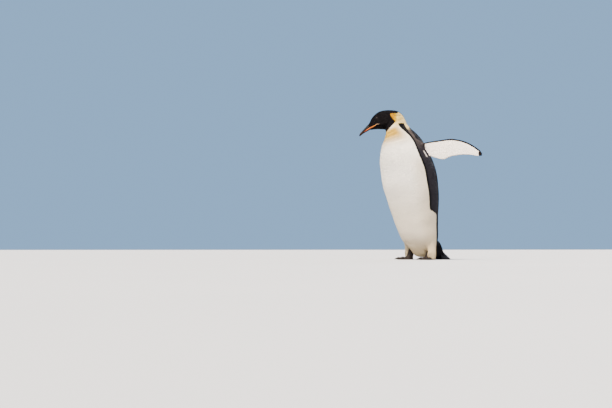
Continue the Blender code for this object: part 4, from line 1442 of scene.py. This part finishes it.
for side, sign in SIDES.items():
    surface = foot_mesh(side)
    places = places_of(surface)
    set_colours(surface, LEATHER_BROWN)
    foot = show(f"foot_skin_{side}", surface)
    put(foot, foot_leather, "foot_skin", f"foot_{side}")

    away = read(surface.vertices, "normal", 3)
    scaly = (places[:, 2] > 0.004) & (away[:, 2] > -0.2) & (places[:, 2] < 0.075)
    places, away = roots(surface, scaly, SCALE_SPACING)
    where = fitted(places[:, :2] + 0.3 * away[:, :2] * places[:, 2:])
    name, seed = f"foot_scales_{side}", 50 + (sign < 0)
    sunk = places - SCALE_SUNK * away
    habit = (SCALE_STRAY, SCALE_RIDGE, foot_flow)
    scales = coat(name, foot, sunk, away, SCALE_SIZE, leather, SCALE_SHADES, 0.10, where, seed, *habit)
    put(scales, foot_leather, "foot_skin")

    for toe in TOES:
        claw = f"claw_{side}_{toe.name}"
        mesh = shells(f"{claw}_horn", claw_rings(side, toe, 36, 24))
        from_heel = np.linalg.norm(read(mesh.vertices, "co", 3) - foot_place(side, 0, 0, 0), axis=1)
        tip = rise(0.6, 1.0, (from_heel - toe.length + CLAW_SET) / CLAW_LENGTH)
        tones = blend(CLAW_BLACK, CLAW_TIP, 0.7 * tip)
        horn_piece(f"{claw}_horn", mesh, tones, claw_keratin, "claw_horn", claw)

# ---- The tail ----
# A short wedge of stiff narrow quills in four layers, spread like a fan, whose worn tips rest on the floor.

# Each layer's place forward, half span, arch and base at the root, and the same at the tip.
QUILL_LAYERS = [
    (-0.134, 0.042, 0.054, 0.032, -0.196, 0.046, 0.034, 0.0030),
    (-0.136, 0.041, 0.048, 0.024, -0.206, 0.048, 0.025, 0.0025),
    (-0.138, 0.040, 0.041, 0.016, -0.213, 0.048, 0.016, 0.0020),
    (-0.140, 0.038, 0.033, 0.008, -0.218, 0.046, 0.008, 0.0015),
]
QUILLS_IN_LAYER = 13
QUILL_HALF_WIDTH = 0.0072
QUILL_THICKNESS = 0.0009
QUILL_BLACK = linear("#0c0c11")
QUILL_EDGE = linear("#1a181d")


def quill_rings(rows, count):
    """A grid for each quill. The quills of a layer lie side by side on an arch, half an oval across the
    bird, that spreads and sinks from root to tip. Each is a row of thin lens sections, as wide as a rise
    near the root and the root of one less the sixth power of the way near the tip, under a raised shaft."""
    chance = np.random.default_rng(7)
    grids = []
    share = np.linspace(0, 1, rows)[:, None]
    for layer in QUILL_LAYERS:
        for round_by in np.radians(np.linspace(-86, 86, QUILLS_IN_LAYER)):
            tip_forward = layer[4] + 0.008 * np.sin(round_by) ** 2 + chance.uniform(0, 0.006)
            forward = layer[0] + (tip_forward - layer[0]) * share
            span, arch, base = (layer[k] + (layer[k + 4] - layer[k]) * share for k in (1, 2, 3))
            along, over = span * np.cos(round_by), -arch * np.sin(round_by)
            size = np.hypot(along, over)
            width = QUILL_HALF_WIDTH * np.sqrt((1 - share**6).clip(0.01, 1))
            width = width * (0.55 + 0.45 * rise(0.0, 0.3, share))
            across = width * np.sin(turned(count))
            shaft = np.exp(-((across / 0.0011) ** 2)) * (1 - share)
            thick = QUILL_THICKNESS * (1 - 0.6 * share) * (np.cos(turned(count)) + 0.8 * shaft) / 2
            left = span * np.sin(round_by) + (across * along - thick * over) / size
            up = base + arch * np.cos(round_by) + (across * over + thick * along) / size
            grids.append(bird_place(forward + 0 * across, left, up.clip(0.0006, None)))
    return np.stack(grids)


def quill_material():
    """Stiff dark vanes, with fine slanting barbs across each quill."""
    made, tree, shader = new_material("tail quills", {"Roughness": 0.5, "Specular IOR Level": 0.12})
    place = node(tree, "ShaderNodeTexCoord").outputs["Object"]
    slanted = node(tree, "ShaderNodeMapping", {"Vector": place, "Rotation": (0.3, 0.2, 0.6)})
    lines = {"Vector": slanted.outputs["Vector"], "Scale": 700.0, "Distortion": 2.0}
    barbs = node(tree, "ShaderNodeTexWave", lines)
    shaded(tree, shader, barbs, (0.85, 1.1))
    raised(tree, shader, barbs, 0.3, 0.0002)
    return made


mesh = shells("tail_quills", quill_rings(26, 20))
worn = rise(0.235, 0.268, places_of(mesh)[:, 1])
set_colours(mesh, blend(QUILL_BLACK, QUILL_EDGE, 0.8 * worn))
put(show("tail_quills", mesh), quill_material(), "black_feathers", "tail")

# ---- The end ----
bpy.context.view_layer.update()
